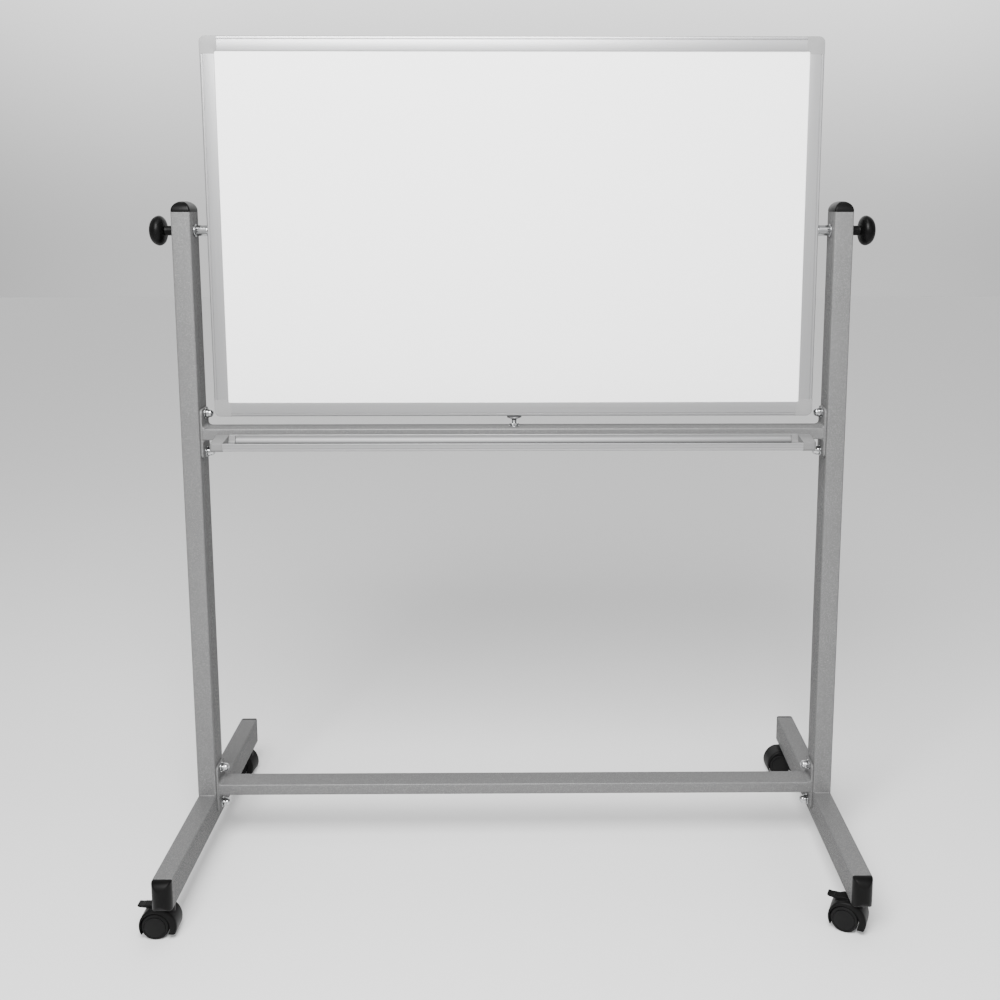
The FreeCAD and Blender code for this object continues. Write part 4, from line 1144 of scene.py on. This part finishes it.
def stop_screw():
    """Rows run up the screw and columns round it; r = radius - depth * triangle(height / pitch - turn)."""
    height = screw_high[2] - screw_low[2]
    thread_end = height - head_rim - head_cone - 2.5 * mm
    z = np.linspace(0.6 * mm, thread_end, int(thread_end / thread_pitch * 6))
    turn = np.linspace(0, 1, 48, endpoint=False)
    phase = (z[:, None] / thread_pitch - turn[None, :]) % 1
    fade = np.clip((thread_end - z) / thread_pitch, 0, 1)[:, None]
    r = screw_radius - thread_depth * fade * np.abs(2 * phase - 1)
    r[0] -= 0.4 * mm
    rise = np.linspace(0, np.pi / 2, 8)[1:]
    neck_z = thread_end + 2.5 * mm * np.sin(rise)
    neck_r = screw_radius + 2.2 * mm * (1 - np.cos(rise))
    rim = height - head_rim
    head_z = [rim, rim + 0.5 * mm, height - 0.4 * mm, height]
    head_r = [stop_radius - 1.6 * mm, stop_radius, stop_radius, stop_radius - 0.4 * mm]
    z = np.concatenate([[0], z, neck_z, head_z])
    smooth = np.concatenate([neck_r, head_r])[:, None] * np.ones((1, 48))
    r = np.vstack([np.full((1, 48), screw_radius - 1.2 * mm), r, smooth])
    circle = np.stack([np.cos(2 * np.pi * turn), np.sin(2 * np.pi * turn)], 1)
    rows = np.concatenate([r[..., None] * circle, z[:, None, None] * np.ones((1, 48, 1))], 2)
    return shell(rows + screw_low * Z)


zinc_piece("stop_screw_body", [stop_screw()], "stop_post", "stop_screw")
pad_radius, pad_thick, pad_edge = (pad_high[0] - pad_low[0]) / 2, pad_high[2] - pad_low[2], 0.45 * mm
pad_centre = np.array([0, 0, pad_low[2]])
pad = turned(softened([(0, 0.5 * mm), (0, pad_radius), (pad_thick, pad_radius), (pad_thick, 0.5 * mm)],
                      [0.05 * mm, 0.15 * mm, pad_edge, 0.05 * mm]), pad_centre, Z,
             start=pad_centre, end=pad_centre + pad_thick * Z)
piece("stop_rubber_disc", [pad], pad_rubber, "stop_cushion", "stop_rubber", "stop_pad")

lock_bore = screw_radius + 0.15 * mm
nut_corner = nut_flats / math.sqrt(3)
lock_height = lock_high[2] - lock_low[2] - washer_thickness
lock_profile = [(0, lock_bore), (0, nut_corner - 1.2 * mm), (0.8 * mm, nut_corner),
                (lock_height - 0.8 * mm, nut_corner), (lock_height, nut_corner - 1.2 * mm),
                (lock_height, lock_bore)]
seat = np.array([0, 0, lock_low[2]])
lock_nut = hex_shell(lock_profile, nut_flats, seat + washer_thickness * Z, Z, ring=True)
lock_washer = ring_washer(washer_radius, lock_bore, washer_thickness, seat, Z)
zinc_piece("stop_lock_nut_set", [lock_nut, lock_washer], "stand", "stop_lock_nut")


# %% [markdown]
# ## Casters
# Four twin-wheel casters carry the stand. They are built once about the swivel's axis, trailing towards -X,
# and then turned about that axis and moved under each foot's end. The hood is a fender over both wheels: a
# section (skin, rounded shoulders, inner wall) swept round the axle. The skin's distance from the axle is
# that of a circle whose centre lies a little forward of it, limited by the flat top, and both ends of the
# sweep stop at one level above the floor.

# %% The hood
wheel_radius = 26 * mm
axle_at = np.array([-20 * mm, 0, wheel_radius])
hood_radius, hood_shift = 36 * mm, np.array([5 * mm, 1 * mm])
hood_half, shoulder = 21.5 * mm, 4 * mm
cavity_radius, web_half = 28.2 * mm, 5.5 * mm
hood_low, hood_top = 12 * mm, 62 * mm
slot_half, slot_level, slot_from = 8.3 * mm, 57.4 * mm, -11 * mm
slot_slope = math.tan(math.radians(9.6))


def soft_min(a, b, width):
    """Smaller of two values, blended over width where they are close: (a + b - sqrt((a - b)^2 + w^2)) / 2."""
    return (a + b - np.sqrt((a - b) ** 2 + width ** 2)) / 2 + width / 4


def skin_radius(turn):
    """Axle to skin: d cos(t - p) + sqrt(R^2 - d^2 sin^2(t - p)), no higher than the flat top."""
    d, p = np.hypot(*hood_shift), np.arctan2(hood_shift[1], hood_shift[0])
    circle = d * np.cos(turn - p) + np.sqrt(hood_radius ** 2 - (d * np.sin(turn - p)) ** 2)
    top = (hood_top - axle_at[2]) / np.maximum(np.sin(turn), 0.3)
    return soft_min(circle, top, 1.5 * mm) - 0.4 * mm


def hood(with_slot):
    """Columns go once round the section at each turn about the axle: skin, shoulder, inner wall, shoulder."""
    bend = np.linspace(0, np.pi / 2, 6)
    half_y = np.concatenate([[0, slot_half - 0.3 * mm, slot_half, slot_half + 0.3 * mm, 13 * mm],
                             hood_half - shoulder + shoulder * np.sin(bend)])
    drop = np.concatenate([np.zeros(5), 1 - np.cos(bend)])
    skin_y = np.concatenate([-half_y[:0:-1], half_y])
    skin_drop = np.concatenate([drop[:0:-1], drop])
    wall_y = np.array([1, 0.97, 0.6, 0.2, -0.2, -0.6, -0.97, -1]) * (hood_half - 0.2 * mm)
    low = hood_low - axle_at[2]
    step = math.atan2(hood_top - axle_at[2], slot_from - axle_at[0])
    middle = np.concatenate([np.linspace(0, step - 0.02, 18), [step - 0.006, step + 0.006],
                             np.linspace(step + 0.03, np.pi, 24)])
    ends = np.linspace(1, 0, 6)[:-1]
    skin_end = [math.asin(-low / skin_radius(np.array(a))) for a in (-0.4, np.pi + 0.4)]
    wall_end = math.asin(-low / cavity_radius)

    def turns(first, last):
        return np.concatenate([-first * ends, middle, np.pi + last * ends[::-1]])

    skin_turn, wall_turn = turns(*skin_end), turns(wall_end, wall_end)
    reach = skin_radius(skin_turn)
    edge = np.minimum(shoulder, 0.8 * (reach - cavity_radius))
    r = reach[:, None] - edge[:, None] * skin_drop[None, :]
    x, z = r * np.cos(skin_turn)[:, None], r * np.sin(skin_turn)[:, None]
    z[[0, -1]] = low
    if with_slot:
        floor = slot_level - slot_slope * (-14 * mm - (x + axle_at[0])) - axle_at[2]
        cut = (np.abs(skin_y)[None, :] < slot_half) & (skin_turn[:, None] > step) & (z > floor)
        z = np.where(cut, floor, z)
    skin = np.stack([x, np.broadcast_to(skin_y, x.shape), z], 2)
    wx = cavity_radius * np.cos(wall_turn)[:, None] * np.ones(8)
    wz = cavity_radius * np.sin(wall_turn)[:, None] * np.ones(8)
    wall = np.stack([wx, np.broadcast_to(wall_y, wx.shape), wz], 2)
    return shell(axle_at + np.concatenate([skin, wall], 1))


def hood_web():
    """Plate between the wheels: full radius above, drawn in under the axle where the fender is open."""
    turn = np.linspace(0, 2 * np.pi, 96, endpoint=False)
    inner = 22 * mm
    blend = 1 / (1 + np.exp(-(cavity_radius * np.sin(turn) + 6 * mm) / (0.8 * mm)))
    r = inner + (cavity_radius + 0.3 * mm - inner) * blend
    outline = np.stack([r * np.cos(turn), r * np.sin(turn)], 1)
    e = 0.5 * mm
    outlines = [outline * (1 - e / inner), outline, outline, outline * (1 - e / inner)]
    depths = [-web_half, -web_half + e, web_half - e, web_half]
    return shell(stacked(outlines, depths, X, Z, Y, axle_at))


def upright(table, steps, columns):
    """Turned solid about the swivel's axis; table rows are (height, radius, softening) in millimetres."""
    heights, radii, softening = np.array(table).T * mm
    outline = softened(np.stack([heights, radii], 1), softening, steps)
    return turned(outline, (0, 0, 0), Z, columns, start=heights[0] * Z, end=heights[-1] * Z)


swivel_boss = upright([(44, 0.5, 0.1), (44, 14, 0.5), (65, 14, 1.2), (65, 0.5, 0.1)], 6, 48)
print("skin from the axle, mm:", np.round(skin_radius(np.linspace(0, np.pi, 5)) / mm, 1))

# %% [markdown]
# Each wheel is a nylon disc with a rounded tread, a dark groove round its dished cover, and a hub open
# towards the web for the axle. Tread and cover are separate solids because their surfaces age differently:
# the tread is scuffed dull, the cover keeps the mould's sheen.

# %% Wheels
wheel_inner, wheel_outer = 6.5 * mm, 21.5 * mm
axle_bore = 3.15 * mm


def wheel_tread_ring(side):
    r, a, b = wheel_radius, wheel_inner, wheel_outer
    seam = r - 5.4 * mm
    outline = softened([(a, seam), (a, r), (b - 0.8 * mm, r), (b - 0.8 * mm, seam)],
                       np.array([0.4, 2.2, 3.4, 0.5]) * mm, 8)
    return turned(outline * (side, 1), axle_at, Y, 72, ring=True)


def wheel_cover_disc(side):
    """Hub, plate and cover: the cover rises from the groove in a shallow dome; the hub stops short of it."""
    r, a, b = wheel_radius, wheel_inner, wheel_outer
    dome = np.linspace(0, 1, 12)
    radius = (r - 6.6 * mm) * (1 - dome ** 1.4) + 0.3 * mm
    height = b - 0.4 * mm + 1.1 * mm * np.sin(dome * np.pi / 2)
    face = list(zip(height, radius))[:-1]
    body = [(b - 1.7 * mm, axle_bore), (a, axle_bore), (a, 7.6 * mm), (a + 0.4 * mm, 8 * mm),
            (a + 4 * mm, 8.5 * mm), (a + 4 * mm, r - 6 * mm), (a + 1.2 * mm, r - 5.6 * mm),
            (b - 1.9 * mm, r - 5.5 * mm), (b - 1.9 * mm, r - 6.1 * mm), (b - 0.9 * mm, r - 6.25 * mm)]
    start = axle_at + side * (b - 1.7 * mm) * Y
    end = axle_at + side * (b + 0.7 * mm) * Y
    return turned(np.array(body + face) * (side, 1), axle_at, Y, 72, start=start, end=end)


# %% [markdown]
# The front casters have a brake: a flat pedal hinged in a slot in the hood's crown, with three grip ribs and
# a tip that curls up past the fender. Its outline is carried across its width with softened sides.

# %% Brake pedal
lever_half, lever_edge = 8 * mm, 0.8 * mm


def brake_lever():
    ribs = [(-23, 64.3, 0.8)]
    for x in (-33, -37, -41):
        ribs += [(x + 1.1, 63.75, 0.2), (x + 0.5, 64.15, 0.3), (x - 0.5, 64.1, 0.3), (x - 1.1, 63.65, 0.2)]
    table = [(-13.5, 57.7, 0.6), (-13.5, 64.2, 1.6)] + ribs
    table += [(-48, 63.2, 1.0), (-54, 64.0, 1.0), (-56, 62.6, 0.9), (-53, 59.4, 1.2), (-40, 57.7, 1.5)]
    table = np.array(table) * mm
    outline = softened(table[:, :2], table[:, 2], 5)
    centre = outline.mean(0)
    inset, depth = drawn_in(2 * lever_half, lever_edge)
    outlines = [centre + (outline - centre) * (1 - 2 * i / np.ptp(outline, axis=0)) for i in inset]
    return shell(stacked(outlines, depth, X, Z, Y, -lever_half * Y))


stem_collar = upright([(49, 0.4, 0.1), (49, 4.9, 0.6), (65.6, 4.9, 0.05), (65.6, 11, 0.6), (68, 11, 0.3),
                       (68, 4.9, 0.05), (85.5, 4.9, 0.6), (85.5, 0.4, 0.1)], 4, 40)
# %% Place the four casters
foot_reach = foot_high[1] - 25 * mm
resting_turns = {"front_left": 0.0, "front_right": -25.0, "rear_left": -8.0, "rear_right": 4.0}


def placed(one, degrees, x, y):
    """Turned about the swivel's upright axis, then moved under the foot."""
    c, s = math.cos(math.radians(degrees)), math.sin(math.radians(degrees))
    turn = np.array([(c, -s, 0), (s, c, 0), (0, 0, 1)])
    return {**one, "points": one["points"] @ turn.T + (x, y, 0)}


collars = []
for name, degrees in resting_turns.items():
    x = post_x if name.endswith("right") else -post_x
    y = foot_reach if name.startswith("rear") else -foot_reach
    braked = name.startswith("front")
    hood_parts = [placed(one, degrees, x, y) for one in (hood(braked), hood_web(), swivel_boss)]
    piece(name + "_hood_shell", hood_parts, hood_nylon, name + "_swivel", "caster_nylon",
          name + "_caster_hood")
    for word, side in (("near", -1), ("far", 1)):
        for part, shape, finish in (("tread", wheel_tread_ring, wheel_tread),
                                    ("cover", wheel_cover_disc, wheel_cover)):
            piece(f"{name}_{word}_{part}", [placed(shape(side), degrees, x, y)], finish,
                  f"{name}_{word}_wheel", "wheel_plastic", f"{name}_wheel_{word}")
    if braked:
        piece(name + "_brake_pedal", [placed(brake_lever(), degrees, x, y)], hood_nylon, name + "_brake",
              "caster_nylon", name + "_brake_lever")
    collars.append(placed(stem_collar, degrees, x, y))
zinc_piece("caster_stem_set", collars, "stand", "caster_stems")


# %% [markdown]
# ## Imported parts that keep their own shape
# Parts that are already right, or that sit inside others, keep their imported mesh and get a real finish.

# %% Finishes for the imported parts
kept_finishes = {
    "zinc_plated_steel": zinc, "brass": brass, "fibreboard": fibreboard,
    "white_enamelled_steel": white_enamel,
    "powder_coated_steel": silver_paint, "black_plastic": black_plastic, "anodised_aluminium": aluminium,
    "grey_plastic": grey_plastic, "caster_nylon": hood_nylon, "wheel_plastic": wheel_cover,
    "stop_rubber": pad_rubber}
kept = 0
for part in frame["record"]["subparts"]:
    node = frame["nodes"][part["node"]]
    if not node.hide_render:
        node.data.materials.clear()
        node.data.materials.append(kept_finishes[part["material_slot"]])
        kept += 1
print("packed parts with a finish of their own:", kept)

# %% [markdown]
# ## Compare the boxes
# The finished model's box is measured, and how far its high corner reaches beyond the imported one's is
# printed. The finished model has to stay inside the imported one's box.

# %% Measure the boxes and print the difference
visual_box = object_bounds()
growth = [round(1000 * (b - a), 2) for a, b in zip(cad_box[1], visual_box[1])]
print("visual box's high corner beyond the packed one, mm:", growth)
